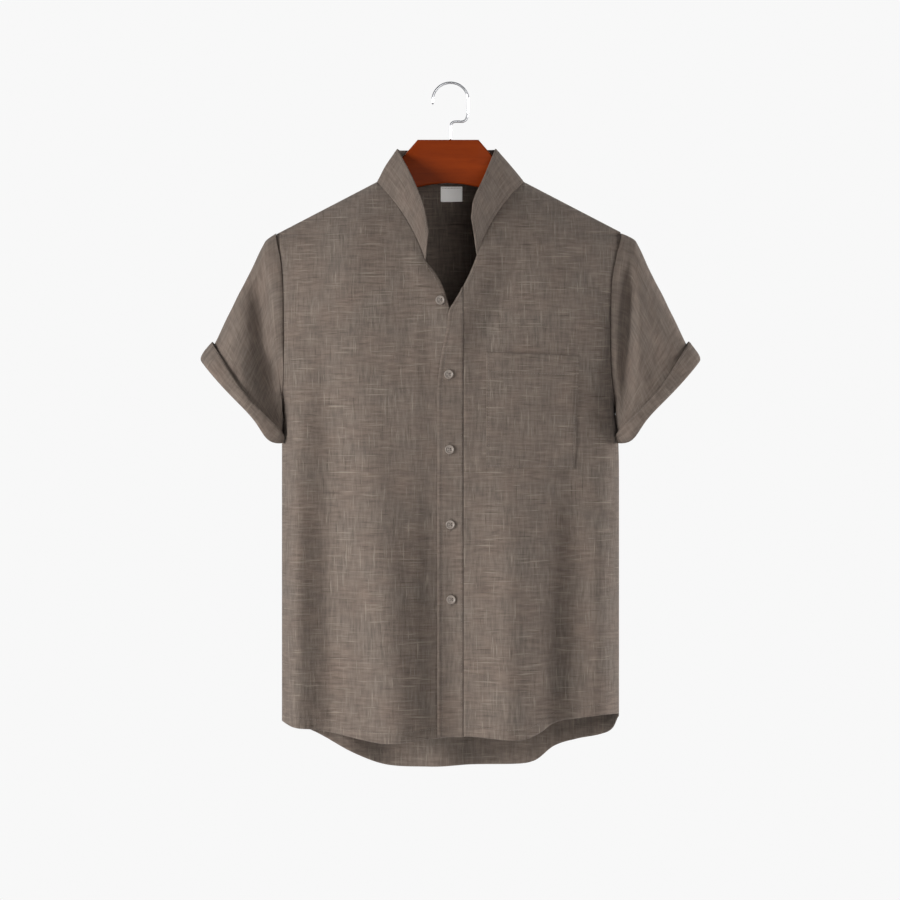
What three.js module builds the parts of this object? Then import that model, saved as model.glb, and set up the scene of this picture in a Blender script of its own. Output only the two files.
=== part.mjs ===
// Men's short-sleeved shirt with a mandarin collar, buttoned, on a wooden hanger with a wire hook.
// Millimetres. +Z is up, -Y is the front, +X is the wearer's left. The origin is the inside top of the hook.
// Every cloth piece is a closed wall: an outer grid of points and the same grid moved inwards.
import * as THREE from "three";

// Cloth
const WALL = 1.5;
const FOLDED_WALL = 2.2;
const SEAM_GAP = 0.4;
const LAP_STEP = 2.8; // how far the under front lies behind the over front
const LAP_START = -46; // where the under front starts to step back, and over what width
const LAP_RUN = 22;
const COLLAR_GAP = 1.4;
const CLEAR = 0.5; // between a piece and what it lies on
const BUTTON_CLEAR = 0.55;
const POCKET_CLEAR = 0.9;

// Body
const NECK_HALF = 92;
const NECK_Z = -122.5;
const SHOULDER_SLOPE = 0.52;
const SHOULDER_FALL = 150; // height over which the chest reaches its full depth
const FRONT_DEPTH = 80;
const BACK_DEPTH = 70;
const CHEST_ROUND = 2.6; // exponent of the rounded section
const BACK_NECK_RISE = 37;
const SIDE_HALF = 210.6; // half width of the body at the hem
const FRONT_HEM_Z = -816; // mean height of the front hem, where the front edges end
const SHOULDER_SHARE = 0.121; // share of the front edge that the rows of the shoulder seam take
const LEAST_DEPTH = 0.2; // a panel stays this far from the shoulder plane

// Armholes and sleeves
const ARMHOLE_TOP = -189;
const ARMHOLE_LOW = -412;
const ARMHOLE_FRONT = 39;
const ARMHOLE_BACK = 35;
const ARMHOLE_WIDEN = 0.07;
const CUFF_FLARE = 1.8;

// Placket and buttons
const PLACKET_SEAM_X = 16.5;
const PLACKET_TOP = -258;
const PLACKET_PROUD = 0.8;
const BUTTON_RADIUS = 5.75;
const BUTTON_THICK = 2.4;
const BUTTON_PITCH = 92.7;
const FIRST_PLACKET_BUTTON = { x: -2, z: -364 };
const NECK_BUTTON = { x: -12.6, z: -272.5 };

// Hanger
const WOOD_CENTRE_X = -3;
const WOOD_TOP = -70;
const HOOK_WIRE = 1.6;
const HOOK_RADIUS = 22.4;

// Side edges of the body seen from the front: armhole seam, then side seam.
const SIDE_EDGES = [
  { z: -100, left: 219, right: 215 },
  { z: -189, left: 217.5, right: 212.5 },
  { z: -217, left: 211.6, right: 206 },
  { z: -247, left: 208.5, right: 200.5 },
  { z: -297, left: 207, right: 198.5 },
  { z: -356, left: 207.5, right: 199.5 },
  { z: -400, left: 209, right: 204 },
  { z: -442, left: 210.6, right: 209.5 },
  { z: -520, left: 210.6, right: 210.6 },
  { z: -900, left: 210.6, right: 210.6 },
];

// Neck seam and front edge of the two fronts: under (wearer's right) and over (wearer's left).
const FRONT_EDGES = [
  { z: -122.5, under: -92, over: 92 },
  { z: -144.5, under: -73.5, over: 72 },
  { z: -168, under: -57, over: 55.2 },
  { z: -193, under: -43.2, over: 42 },
  { z: -216, under: -33.5, over: 33 },
  { z: -223, under: -31, over: 30.5 },
  { z: -239, under: -18.5, over: 24 },
  { z: -255, under: -10, over: 16 },
  { z: -271, under: -4.8, over: 7 },
  { z: -285, under: -0.6, over: -1 },
  { z: -307, under: 7, over: -4.4 },
  { z: -345, under: 14, over: -11.9 },
  { z: -389, under: 14, over: -15.6 },
  { z: -900, under: 14, over: -15.6 },
];
const UNDER_SEAM_END = -223;
const OVER_SEAM_END = -216;

// Lower edges from the wearer's right side seam to the left one.
const HEMS = [
  { x: -210.6, front: -795, back: -795 },
  { x: -195, front: -801, back: -801 },
  { x: -165, front: -804, back: -815 },
  { x: -120, front: -813, back: -840 },
  { x: -80, front: -819, back: -855 },
  { x: -25, front: -814, back: -857 },
  { x: 20, front: -811, back: -854.5 },
  { x: 85, front: -814.5, back: -853.5 },
  { x: 108, front: -808, back: -848 },
  { x: 130, front: -794.5, back: -830 },
  { x: 160, front: -789, back: -821 },
  { x: 190, front: -785, back: -814 },
  { x: 204, front: -785, back: -806 },
  { x: 210.6, front: -786, back: -790 },
];

// Folds: a crest (height over 0) or a trough along a line, with a soft section of the given width.
// "open" folds run out over the hem at full height, the others fade at both ends.
const FRONT_FOLDS = [
  { x0: -102, z0: -340, x1: -70, z1: -820, width: 34, height: 13, open: 1 },
  { x0: 92, z0: -380, x1: 88, z1: -820, width: 31, height: 12, open: 1 },
  { x0: -152, z0: -400, x1: -143, z1: -820, width: 24, height: -11, open: 1 },
  { x0: 158, z0: -390, x1: 144, z1: -820, width: 21, height: -12, open: 1 },
  { x0: 192, z0: -430, x1: 188, z1: -800, width: 15, height: 5, open: 1 },
  { x0: -196, z0: -430, x1: -193, z1: -800, width: 14, height: 5, open: 1 },
  { x0: -8, z0: -440, x1: 6, z1: -820, width: 32, height: -8, open: 1 },
  { x0: 98, z0: -170, x1: 14, z1: -380, width: 24, height: -6, open: 0 },
  { x0: 62, z0: -150, x1: -10, z1: -372, width: 20, height: 6, open: 0 },
  { x0: -60, z0: -156, x1: 10, z1: -350, width: 20, height: 4, open: 0 },
  { x0: -113, z0: -136, x1: -128, z1: -290, width: 22, height: 4, open: 0 },
  { x0: 150, z0: -190, x1: 120, z1: -340, width: 22, height: 4, open: 0 },
  { x0: -176, z0: -300, x1: -120, z1: -520, width: 20, height: -4, open: 0 },
];
const BACK_FOLDS = [
  { x0: -60, z0: -330, x1: -70, z1: -860, width: 32, height: 9, open: 1 },
  { x0: 66, z0: -380, x1: 60, z1: -860, width: 34, height: 8, open: 1 },
  { x0: 0, z0: -420, x1: -6, z1: -860, width: 26, height: -9, open: 1 },
  { x0: -132, z0: -400, x1: -126, z1: -850, width: 24, height: -8, open: 1 },
  { x0: 138, z0: -380, x1: 122, z1: -850, width: 20, height: -10, open: 1 },
  { x0: 176, z0: -420, x1: 160, z1: -820, width: 17, height: 5, open: 1 },
  { x0: -178, z0: -430, x1: -172, z1: -820, width: 17, height: 5, open: 1 },
  { x0: -150, z0: -210, x1: -60, z1: -400, width: 24, height: -5, open: 0 },
  { x0: 146, z0: -215, x1: 70, z1: -420, width: 24, height: -5, open: 0 },
];
const LEFT_SLEEVE_FOLDS = [
  { x0: 224, z0: -196, x1: 215, z1: -436, width: 8, height: -11, open: 0 },
  { x0: 262, z0: -300, x1: 248, z1: -390, width: 15, height: -5, open: 0 },
];
const RIGHT_SLEEVE_FOLDS = [
  { x0: -238, z0: -210, x1: -232, z1: -400, width: 12, height: -13, open: 0 },
  { x0: -219, z0: -330, x1: -216, z1: -440, width: 10, height: -8, open: 0 },
];

// Sleeve rings from the armhole to the rolled end: highest and lowest point, and the half depths.
const SLEEVE_RINGS = [
  { along: 0, topX: 213, topZ: -189, lowX: 207, lowZ: -412, front: 39, back: 35 },
  { along: 0.12, topX: 232, topZ: -198, lowX: 211, lowZ: -417, front: 41, back: 37 },
  { along: 0.36, topX: 252, topZ: -238, lowX: 213.5, lowZ: -424, front: 44, back: 40 },
  { along: 0.62, topX: 276, topZ: -286, lowX: 214.5, lowZ: -431, front: 46, back: 42 },
  { along: 0.86, topX: 297.5, topZ: -331, lowX: 216, lowZ: -438, front: 45, back: 42 },
  { along: 1, topX: 311, topZ: -347, lowX: 223.5, lowZ: -447, front: 42, back: 40 },
];

// Share of the sleeve's length that the turned-up cuff covers, by the angle from the sleeve's top over its front.
const CUFF_SHARES = [
  { angle: 0, share: 0.17 },
  { angle: 50, share: 0.16 },
  { angle: 90, share: 0.125 },
  { angle: 120, share: 0.15 },
  { angle: 150, share: 0.22 },
  { angle: 180, share: 0.2 },
  { angle: 270, share: 0.17 },
  { angle: 360, share: 0.17 },
];

// Top edge of the collar from a front end (0) over the neck point (0.55) to the centre back (1).
const NECK_POINT = 0.55;
const COLLAR_TOP = [
  { along: 0, rightX: -27, rightZ: -188, leftX: 26.5, leftZ: -170, y: -74 },
  { along: 0.15, rightX: -33, rightZ: -157, leftX: 29.5, leftZ: -148, y: -65 },
  { along: 0.35, rightX: -47, rightZ: -121, leftX: 42, leftZ: -119, y: -41 },
  { along: 0.55, rightX: -65.5, rightZ: -84, leftX: 57, leftZ: -81.5, y: -8 },
  { along: 0.7, rightX: -63, rightZ: -82.5, leftX: 57, leftZ: -81.5, y: 13 },
  { along: 0.85, rightX: -39, rightZ: -82, leftX: 36, leftZ: -81.5, y: 27 },
  { along: 1, rightX: 0, rightZ: -82, leftX: 0, leftZ: -82, y: 32 },
];

// Chest pocket corners on the over front.
const POCKET = {
  topLeft: [44.4, -336.5],
  topRight: [159.5, -341.5],
  lowRight: [153.5, -481],
  lowLeft: [44.6, -479],
};

const LABEL = { left: -12.2, right: 14.8, top: -125.5, low: -143.5, thick: 1 };

// Half of the hanger's wood: upper and lower edge, half thickness and edge rounding, outwards from its middle.
const WOOD_SECTIONS = [
  { x: 0, top: -70, low: -124, half: 6.5, round: 2 },
  { x: 20, top: -70, low: -125.5, half: 6.5, round: 2 },
  { x: 38, top: -70, low: -129, half: 6.6, round: 2 },
  { x: 55, top: -89.6, low: -135.5, half: 7, round: 3 },
  { x: 71, top: -108, low: -144, half: 7.5, round: 5 },
  { x: 82, top: -126.5, low: -150.5, half: 8, round: 7 },
  { x: 95, top: -131.6, low: -157.5, half: 8.6, round: 8 },
  { x: 125, top: -147.2, low: -173, half: 9.6, round: 9 },
  { x: 160, top: -165.4, low: -189, half: 10.4, round: 9.5 },
  { x: 190, top: -181, low: -202, half: 10.4, round: 9.5 },
  { x: 200, top: -188.5, low: -203, half: 7.5, round: 6.5 },
];

// Materials
const cloth = new THREE.MeshStandardMaterial({ color: 0x6e6259, roughness: 0.95, metalness: 0 });
const buttonPlastic = new THREE.MeshStandardMaterial({ color: 0xa0968c, roughness: 0.35, metalness: 0 });
const labelTape = new THREE.MeshStandardMaterial({ color: 0xc9c7c2, roughness: 0.8, metalness: 0 });
const lacqueredWood = new THREE.MeshStandardMaterial({ color: 0x7e300b, roughness: 0.3, metalness: 0 });
const steel = new THREE.MeshStandardMaterial({ color: 0xb8b9bb, roughness: 0.25, metalness: 1 });

const shirt = new THREE.Group();

function clamp01(value) {
  return Math.min(1, Math.max(0, value));
}

function ease(value) {
  const t = clamp01(value);
  return t * t * (3 - 2 * t);
}

function mix(a, b, t) {
  return a + (b - a) * t;
}

// Smooth value of one column of a table at a place given by another column.
function column(rows, key, at, name) {
  const rising = rows[1][key] > rows[0][key] ? 1 : -1;
  let k = 0;
  while (k < rows.length - 2 && (at - rows[k + 1][key]) * rising > 0) k += 1;
  const slope = (i) => {
    const a = rows[Math.max(0, i - 1)];
    const b = rows[Math.min(rows.length - 1, i + 1)];
    return (b[name] - a[name]) / (b[key] - a[key]);
  };
  const from = rows[k];
  const to = rows[k + 1];
  const span = to[key] - from[key];
  const t = clamp01((at - from[key]) / span);
  const steady = from[name] === to[name];
  const m0 = steady ? 0 : slope(k) * span;
  const m1 = steady ? 0 : slope(k + 1) * span;
  const t2 = t * t;
  const t3 = t2 * t;
  return (2 * t3 - 3 * t2 + 1) * from[name] + (t3 - 2 * t2 + t) * m0
    + (3 * t2 - 2 * t3) * to[name] + (t3 - t2) * m1;
}

// Height of all folds at a place of the front view.
function foldHeight(folds, x, z) {
  let sum = 0;
  for (const fold of folds) {
    const runX = fold.x1 - fold.x0;
    const runZ = fold.z1 - fold.z0;
    const along = ((x - fold.x0) * runX + (z - fold.z0) * runZ) / (runX * runX + runZ * runZ);
    const near = clamp01(along);
    const away = Math.hypot(x - fold.x0 - near * runX, z - fold.z0 - near * runZ);
    const beyond = fold.open && along > 1 ? Math.abs(x - fold.x1) : away;
    const fadeIn = fold.open ? ease(along * 1.4) : ease(along * 3);
    const fadeOut = fold.open ? 1 : ease((1 - along) * 3);
    sum += fold.height * fadeIn * fadeOut * Math.exp(-((beyond / fold.width) ** 2));
  }
  return sum;
}

function edgeX(x, z) {
  return column(SIDE_EDGES, "z", z, x < 0 ? "left" : "right");
}

function shoulderZ(x) {
  return NECK_Z - SHOULDER_SLOPE * Math.max(0, Math.abs(x) - NECK_HALF);
}

function shoulderRound(drop) {
  const s = clamp01(1 - drop / SHOULDER_FALL);
  return (1 - s * s) ** 0.7;
}

function chestRound(ratio) {
  return (1 - Math.min(1, ratio) ** CHEST_ROUND) ** (1 / CHEST_ROUND);
}

function armholeHalf(z, half) {
  const middle = (ARMHOLE_TOP + ARMHOLE_LOW) / 2;
  const reach = (ARMHOLE_TOP - ARMHOLE_LOW) / 2;
  return half * Math.sqrt(Math.max(0, 1 - ((z - middle) / reach) ** 2));
}

// Distance of the cloth from the shoulder plane y = 0, for a panel of the given depth.
function clothDepth(x, z, depth, rise, armhole) {
  const edge = edgeX(x, z);
  const widen = 1 + ARMHOLE_WIDEN * ease((z - ARMHOLE_LOW) / 52);
  const full = depth * shoulderRound(shoulderZ(x) + rise - z);
  const atEdge = depth * shoulderRound(shoulderZ(edge) - z) * chestRound(1 / widen);
  const ratio = Math.min(1, Math.abs(x) / edge);
  return full * chestRound(ratio / widen) + (armholeHalf(z, armhole) - atEdge) * ratio ** 6;
}

function sideFade(x, z) {
  return 1 - Math.min(1, Math.abs(x) / edgeX(x, z)) ** 8;
}

function frontY(x, z) {
  const depth = clothDepth(x, z, FRONT_DEPTH, 0, ARMHOLE_FRONT);
  return -Math.max(LEAST_DEPTH, depth + foldHeight(FRONT_FOLDS, x, z) * sideFade(x, z) * ease(depth / 40));
}

function underFrontY(x, z) {
  return frontY(x, z) + LAP_STEP * ease((x - LAP_START) / LAP_RUN);
}

function backY(x, z) {
  const rise = BACK_NECK_RISE * Math.max(0, 1 - (x / NECK_HALF) ** 2) ** 0.8;
  const depth = clothDepth(x, z, BACK_DEPTH, rise, ARMHOLE_BACK);
  return Math.max(LEAST_DEPTH, depth + foldHeight(BACK_FOLDS, x, z) * sideFade(x, z) * ease(depth / 40));
}

// Closed wall from an outer grid. It grows away from the side that the hint points to.
function wall(columns, rows, pointAt, thickness, outward, { ring = false, keep = null } = {}) {
  const across = ring ? columns : columns + 1;
  const outer = [];
  for (let j = 0; j <= rows; j += 1) {
    for (let i = 0; i < across; i += 1) outer.push(pointAt(i, j));
  }
  const index = (i, j) => j * across + (ring ? (i + columns) % columns : Math.min(columns, Math.max(0, i)));
  const row = (j) => Math.min(rows, Math.max(0, j));
  const normals = [];
  let facing = 0;
  for (let j = 0; j <= rows; j += 1) {
    for (let i = 0; i < across; i += 1) {
      const du = outer[index(i + 1, j)].clone().sub(outer[index(i - 1, j)]);
      const dv = outer[index(i, row(j + 1))].clone().sub(outer[index(i, row(j - 1))]);
      const normal = du.cross(dv).normalize();
      facing += normal.dot(outward(outer[index(i, j)], j));
      normals.push(normal);
    }
  }
  const sign = facing > 0 ? 1 : -1;
  const inner = outer.map((point, k) => {
    const moved = point.clone().addScaledVector(normals[k], -sign * thickness);
    if (keep) keep(moved);
    return moved;
  });
  const positions = [...outer, ...inner].flatMap((p) => [p.x, p.y, p.z]);
  const shift = outer.length;
  const faces = [];
  const quad = (a, b, c, d) => (sign > 0 ? faces.push(a, b, c, a, c, d) : faces.push(a, c, b, a, d, c));
  for (let j = 0; j < rows; j += 1) {
    for (let i = 0; i < columns; i += 1) {
      const [a, b, c, d] = [index(i, j), index(i + 1, j), index(i + 1, j + 1), index(i, j + 1)];
      quad(a, b, c, d);
      quad(a + shift, d + shift, c + shift, b + shift);
    }
  }
  for (let i = 0; i < columns; i += 1) {
    const [a, b] = [index(i, 0), index(i + 1, 0)];
    const [c, d] = [index(i, rows), index(i + 1, rows)];
    quad(a, a + shift, b + shift, b);
    quad(c, d, d + shift, c + shift);
  }
  for (let j = 0; j < rows && !ring; j += 1) {
    const [a, b] = [index(0, j), index(0, j + 1)];
    const [c, d] = [index(columns, j), index(columns, j + 1)];
    quad(a, b, b + shift, a + shift);
    quad(c, c + shift, d + shift, d);
  }
  const geometry = new THREE.BufferGeometry();
  geometry.setAttribute("position", new THREE.Float32BufferAttribute(positions, 3));
  geometry.setIndex(faces);
  geometry.computeVertexNormals();
  return geometry;
}

// Point of a panel: rows run straight between its two side edges, bent to the top and low edges.
function panelPoint(top, low, first, last, u, v) {
  const [t, b, l, r] = [top(u), low(u), first(v), last(v)];
  const [t0, t1, b0, b1] = [first(0), last(0), first(1), last(1)];
  return [0, 1].map((k) =>
    mix(l[k], r[k], u) + (1 - v) ** TOP_BEND * (t[k] - mix(t0[k], t1[k], u)) + v ** LOW_BEND * (b[k] - mix(b0[k], b1[k], u)));
}

// Point of a surface moved square to it, outwards for a positive distance.
function lifted(surface, x, z, distance) {
  const step = 1.5;
  const tiltX = (surface(x + step, z) - surface(x - step, z)) / (2 * step);
  const tiltZ = (surface(x, z + step) - surface(x, z - step)) / (2 * step);
  const side = Math.sign(surface(x, z));
  const facing = new THREE.Vector3(-side * tiltX, side, -side * tiltZ).normalize();
  return new THREE.Vector3(x, surface(x, z), z).addScaledVector(facing, distance);
}

function add(name, geometry, material) {
  const mesh = new THREE.Mesh(geometry, material);
  mesh.name = name;
  shirt.add(mesh);
}

const toFront = () => new THREE.Vector3(0, -1, 0);
const toBack = () => new THREE.Vector3(0, 1, 0);

// A body panel stays on its own side of the shoulder and side seams, and inside the armhole seams.
function stayInBody(point, side) {
  point.y = side * Math.max(side * point.y, LEAST_DEPTH);
  point.x = Math.sign(point.x) * Math.min(Math.abs(point.x), edgeX(point.x, point.z));
}

function stayInSleeve(point) {
  point.x = Math.sign(point.x) * Math.max(Math.abs(point.x), edgeX(point.x, point.z) + SEAM_GAP);
}

const FRONT_COLUMNS = 15;
const BACK_COLUMNS = 30;
const SHOULDER_ROWS = 8;
const PANEL_ROWS = 27;
const CORNER = 4; // the front's top row goes this far down from the neck point on both seams
const ROW_CROWDING = 1.3; // over 1: rows below the shoulder are closer near the armhole's top
const COLUMN_CROWDING = 1.5; // over 1: columns are closer near the armhole
const TOP_BEND = 12; // how fast the rows lose the bend of the top edge, and of the low edge
const LOW_BEND = 3;

// Side edge of a panel: down the shoulder seam from the neck, then the armhole and side seams.
function outerEdge(side, hem, start) {
  const shoulderEnd = edgeX(side, ARMHOLE_TOP);
  const hemZ = column(HEMS, "x", side * SIDE_HALF, hem);
  return (j) => {
    if (j <= SHOULDER_ROWS) {
      const x = mix(NECK_HALF + start, shoulderEnd, j / SHOULDER_ROWS);
      return [side * x, shoulderZ(x)];
    }
    const z = mix(shoulderZ(shoulderEnd), hemZ, restOfRows(j));
    return [side * edgeX(side, z), z];
  };
}

function restOfRows(j) {
  return ((j - SHOULDER_ROWS) / (PANEL_ROWS - SHOULDER_ROWS)) ** ROW_CROWDING;
}

function frontPanel(name, side, edge, surface) {
  const hemZ = (x) => column(HEMS, "x", x, "front");
  const cornerZ = NECK_Z - CORNER;
  const innerEdge = (j) => {
    const v = j <= SHOULDER_ROWS
      ? (SHOULDER_SHARE * j) / SHOULDER_ROWS
      : mix(SHOULDER_SHARE, 1, restOfRows(j));
    const z = mix(cornerZ, hemZ(edge(FRONT_HEM_Z)), v);
    return [edge(z), z];
  };
  const sideEdge = outerEdge(side, "front", CORNER);
  const top = (u) => {
    if (u < 0.5) {
      const z = mix(cornerZ, NECK_Z, 2 * u);
      return [edge(z), z];
    }
    const x = side * mix(NECK_HALF, NECK_HALF + CORNER, 2 * u - 1);
    return [x, shoulderZ(x)];
  };
  const low = (u) => {
    const x = mix(edge(FRONT_HEM_Z), side * SIDE_HALF, u);
    return [x, hemZ(x)];
  };
  const pointAt = (i, j) => {
    const u = 1 - (1 - i / FRONT_COLUMNS) ** COLUMN_CROWDING;
    const at = (line) => (v) => line(v * PANEL_ROWS);
    const [x, z] = panelPoint(top, low, at(innerEdge), at(sideEdge), u, j / PANEL_ROWS);
    return new THREE.Vector3(x, surface(x, z), z);
  };
  const keep = (point) => stayInBody(point, -1);
  add(name, wall(FRONT_COLUMNS, PANEL_ROWS, pointAt, WALL, toFront, { keep }), cloth);
}

function backPanel() {
  const low = (u) => {
    const x = mix(-SIDE_HALF, SIDE_HALF, u);
    return [x, column(HEMS, "x", x, "back")];
  };
  const [right, left] = [outerEdge(-1, "back", 0), outerEdge(1, "back", 0)];
  const top = (u) => {
    const x = mix(-NECK_HALF, NECK_HALF, u);
    return [x, backNeckZ(x)];
  };
  const pointAt = (i, j) => {
    const even = i / BACK_COLUMNS;
    const u = mix(even, 0.5 - 0.5 * Math.cos(Math.PI * even), 0.8);
    const at = (line) => (v) => line(v * PANEL_ROWS);
    const [x, z] = panelPoint(top, low, at(right), at(left), u, j / PANEL_ROWS);
    return new THREE.Vector3(x, backY(x, z), z);
  };
  const keep = (point) => stayInBody(point, 1);
  add("back", wall(BACK_COLUMNS, PANEL_ROWS, pointAt, WALL, toBack, { keep }), cloth);
}

// Height of the back neck seam, a little lower at the centre than at the neck points.
function backNeckZ(x) {
  return NECK_Z - 1.5 * Math.sqrt(Math.max(0, 1 - (x / NECK_HALF) ** 2));
}

// Placket: a folded band on the over front's edge, as wide as the space up to its seam.
function placket() {
  const columns = 4;
  const rows = 28;
  const lowZ = column(HEMS, "x", 0, "front");
  const pointAt = (i, j) => {
    const z = mix(PLACKET_TOP, lowZ, (j / rows) ** 1.2);
    const x = mix(overEdge(z), PLACKET_SEAM_X - SEAM_GAP, i / columns);
    return lifted(frontY, x, z, PLACKET_PROUD);
  };
  add("placket", wall(columns, rows, pointAt, FOLDED_WALL, toFront), cloth);
}

function overEdge(z) {
  return column(FRONT_EDGES, "z", z, "over");
}

function underEdge(z) {
  return column(FRONT_EDGES, "z", z, "under");
}

// Pocket: the front's own points inside the four corners, moved out.
function pocket() {
  const [columns, rows] = [10, 10];
  const pointAt = (i, j) => {
    const [u, v] = [i / columns, j / rows];
    const [x, z] = [0, 1].map((k) =>
      mix(mix(POCKET.topLeft[k], POCKET.topRight[k], u), mix(POCKET.lowLeft[k], POCKET.lowRight[k], u), v));
    return lifted(frontY, x, z, POCKET_CLEAR + WALL);
  };
  add("pocket", wall(columns, rows, pointAt, WALL, toFront), cloth);
}

// Sleeve surface: angle 0 is its top, a quarter turn is its front.
function sleevePoint(side, folds, angle, along, offset = 0) {
  const value = (name) => column(SLEEVE_RINGS, "along", along, name);
  const [c, s] = [Math.cos(angle), Math.sin(angle)];
  const [topX, topZ, lowX, lowZ] = ["topX", "topZ", "lowX", "lowZ"].map(value);
  const halfX = (topX - lowX) / 2;
  const halfZ = (topZ - lowZ) / 2;
  const depth = value(s > 0 ? "front" : "back");
  const z = (topZ + lowZ) / 2 + halfZ * c;
  const straightX = (topX + lowX) / 2 + halfX * c;
  const seamX = edgeX(side, z) + SEAM_GAP;
  const x = side * mix(seamX, straightX, ease(along / 0.12));
  const fold = s > 0 ? foldHeight(folds, x, z) * Math.min(1, 1.6 * s) * ease(along / 0.1) : 0;
  const radial = new THREE.Vector3(side * halfX * c, -s * depth, halfZ * c).normalize();
  return new THREE.Vector3(x, -s * depth - fold, z).addScaledVector(radial, offset);
}

function sleeve(name, side, folds) {
  const [columns, rows] = [30, 11];
  const pointAt = (i, j) => sleevePoint(side, folds, (2 * Math.PI * i) / columns, j / rows);
  const outward = (point, j) => {
    const middle = sleevePoint(side, [], 0, j / rows).add(sleevePoint(side, [], Math.PI, j / rows));
    return point.clone().addScaledVector(middle, -0.5);
  };
  add(name, wall(columns, rows, pointAt, WALL, outward, { ring: true, keep: stayInSleeve }), cloth);
}

// Cuff: the sleeve's end turned up over itself, a folded band of uneven height just outside the sleeve.
function cuff(name, side, folds) {
  const [columns, rows] = [30, 4];
  const pointAt = (i, j) => {
    const share = column(CUFF_SHARES, "angle", (360 * i) / columns, "share");
    return sleevePoint(side, folds, (2 * Math.PI * i) / columns, 1 - (share * j) / rows,
      CLEAR + FOLDED_WALL + (CUFF_FLARE * j) / rows);
  };
  const middle = sleevePoint(side, [], 0, 1).add(sleevePoint(side, [], Math.PI, 1)).multiplyScalar(0.5);
  const outward = (point) => point.clone().sub(middle);
  add(name, wall(columns, rows, pointAt, FOLDED_WALL, outward, { ring: true }), cloth);
}

// Collar: a band between the neck seam and its own top edge, open at the front.
function collarBase(side, along) {
  if (along < NECK_POINT) {
    const end = side < 0 ? UNDER_SEAM_END : OVER_SEAM_END;
    const z = mix(end, NECK_Z, along / NECK_POINT);
    if (side < 0) return new THREE.Vector3(underEdge(z), underFrontY(underEdge(z), z), z);
    return new THREE.Vector3(overEdge(z), frontY(overEdge(z), z), z);
  }
  const angle = (Math.PI / 2) * ((along - NECK_POINT) / (1 - NECK_POINT));
  const x = side * NECK_HALF * Math.cos(angle);
  const z = backNeckZ(x);
  return new THREE.Vector3(x, backY(x, z), z);
}

function collar() {
  const half = 22;
  const rows = 4;
  const pointAt = (i, j) => {
    const side = i <= half ? -1 : 1;
    const along = (i <= half ? i : 2 * half - i) / half;
    const name = side < 0 ? "right" : "left";
    const base = collarBase(side, along);
    const top = new THREE.Vector3(
      column(COLLAR_TOP, "along", along, name + "X"),
      column(COLLAR_TOP, "along", along, "y"),
      column(COLLAR_TOP, "along", along, name + "Z"),
    );
    const rise = top.clone().sub(base);
    const start = COLLAR_GAP / rise.length();
    return base.addScaledVector(rise, mix(start, 1, j / rows));
  };
  const outward = (point) => new THREE.Vector3(point.x, point.y, 0);
  add("collar", wall(2 * half, rows, pointAt, FOLDED_WALL, outward), cloth);
}

function neckLabel() {
  const [columns, rows] = [3, 3];
  const pointAt = (i, j) => {
    const x = mix(LABEL.left, LABEL.right, i / columns);
    const z = mix(LABEL.top, LABEL.low, j / rows);
    return lifted(backY, x, z, -WALL - CLEAR - LABEL.thick);
  };
  add("label", wall(columns, rows, pointAt, LABEL.thick, toFront), labelTape);
}

// Button: a turned disc with a raised rim and a dished middle, set square to the cloth below it.
function button(name, x, z, surface) {
  const profile = [
    [0, 0],
    [BUTTON_RADIUS - 1, 0],
    [BUTTON_RADIUS, 0.8],
    [BUTTON_RADIUS - 0.4, BUTTON_THICK],
    [BUTTON_RADIUS - 1.6, BUTTON_THICK],
    [BUTTON_RADIUS - 2.4, BUTTON_THICK - 0.9],
    [0, BUTTON_THICK - 0.9],
  ].map(([r, h]) => new THREE.Vector2(r, h));
  const geometry = new THREE.LatheGeometry(profile, 20);
  const seat = lifted(surface, x, z, BUTTON_CLEAR);
  const facing = lifted(surface, x, z, BUTTON_CLEAR + 1).sub(seat);
  geometry.applyQuaternion(new THREE.Quaternion().setFromUnitVectors(new THREE.Vector3(0, 1, 0), facing));
  geometry.translate(seat.x, seat.y, seat.z);
  add(name, geometry, buttonPlastic);
}

// Hanger wood: rounded sections lofted along its length.
function hangerWood() {
  const corners = 4;
  const perCorner = 3;
  const around = corners * perCorner;
  const stations = [...WOOD_SECTIONS.slice(1).reverse().map((s) => ({ ...s, x: -s.x })), ...WOOD_SECTIONS];
  const positions = [];
  for (const { x, top, low, half, round } of stations) {
    for (let k = 0; k < around; k += 1) {
      const corner = Math.floor(k / perCorner);
      const angle = (Math.PI / 2) * (corner + (k % perCorner) / (perCorner - 1));
      const signY = corner === 0 || corner === 3 ? 1 : -1;
      const centreZ = corner < 2 ? top - round : low + round;
      positions.push(
        WOOD_CENTRE_X + x,
        signY * (half - round) + round * Math.cos(angle),
        centreZ + round * Math.sin(angle),
      );
    }
  }
  const faces = [];
  for (let s = 0; s < stations.length - 1; s += 1) {
    for (let k = 0; k < around; k += 1) {
      const next = (k + 1) % around;
      const [a, b] = [s * around + k, s * around + next];
      faces.push(a, b, a + around, b, b + around, a + around);
    }
  }
  const last = (stations.length - 1) * around;
  for (let k = 1; k < around - 1; k += 1) {
    faces.push(0, k + 1, k);
    faces.push(last, last + k, last + k + 1);
  }
  const geometry = new THREE.BufferGeometry();
  geometry.setAttribute("position", new THREE.Float32BufferAttribute(positions, 3));
  geometry.setIndex(faces);
  geometry.computeVertexNormals();
  add("hanger_wood", geometry, lacqueredWood);
}

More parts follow.
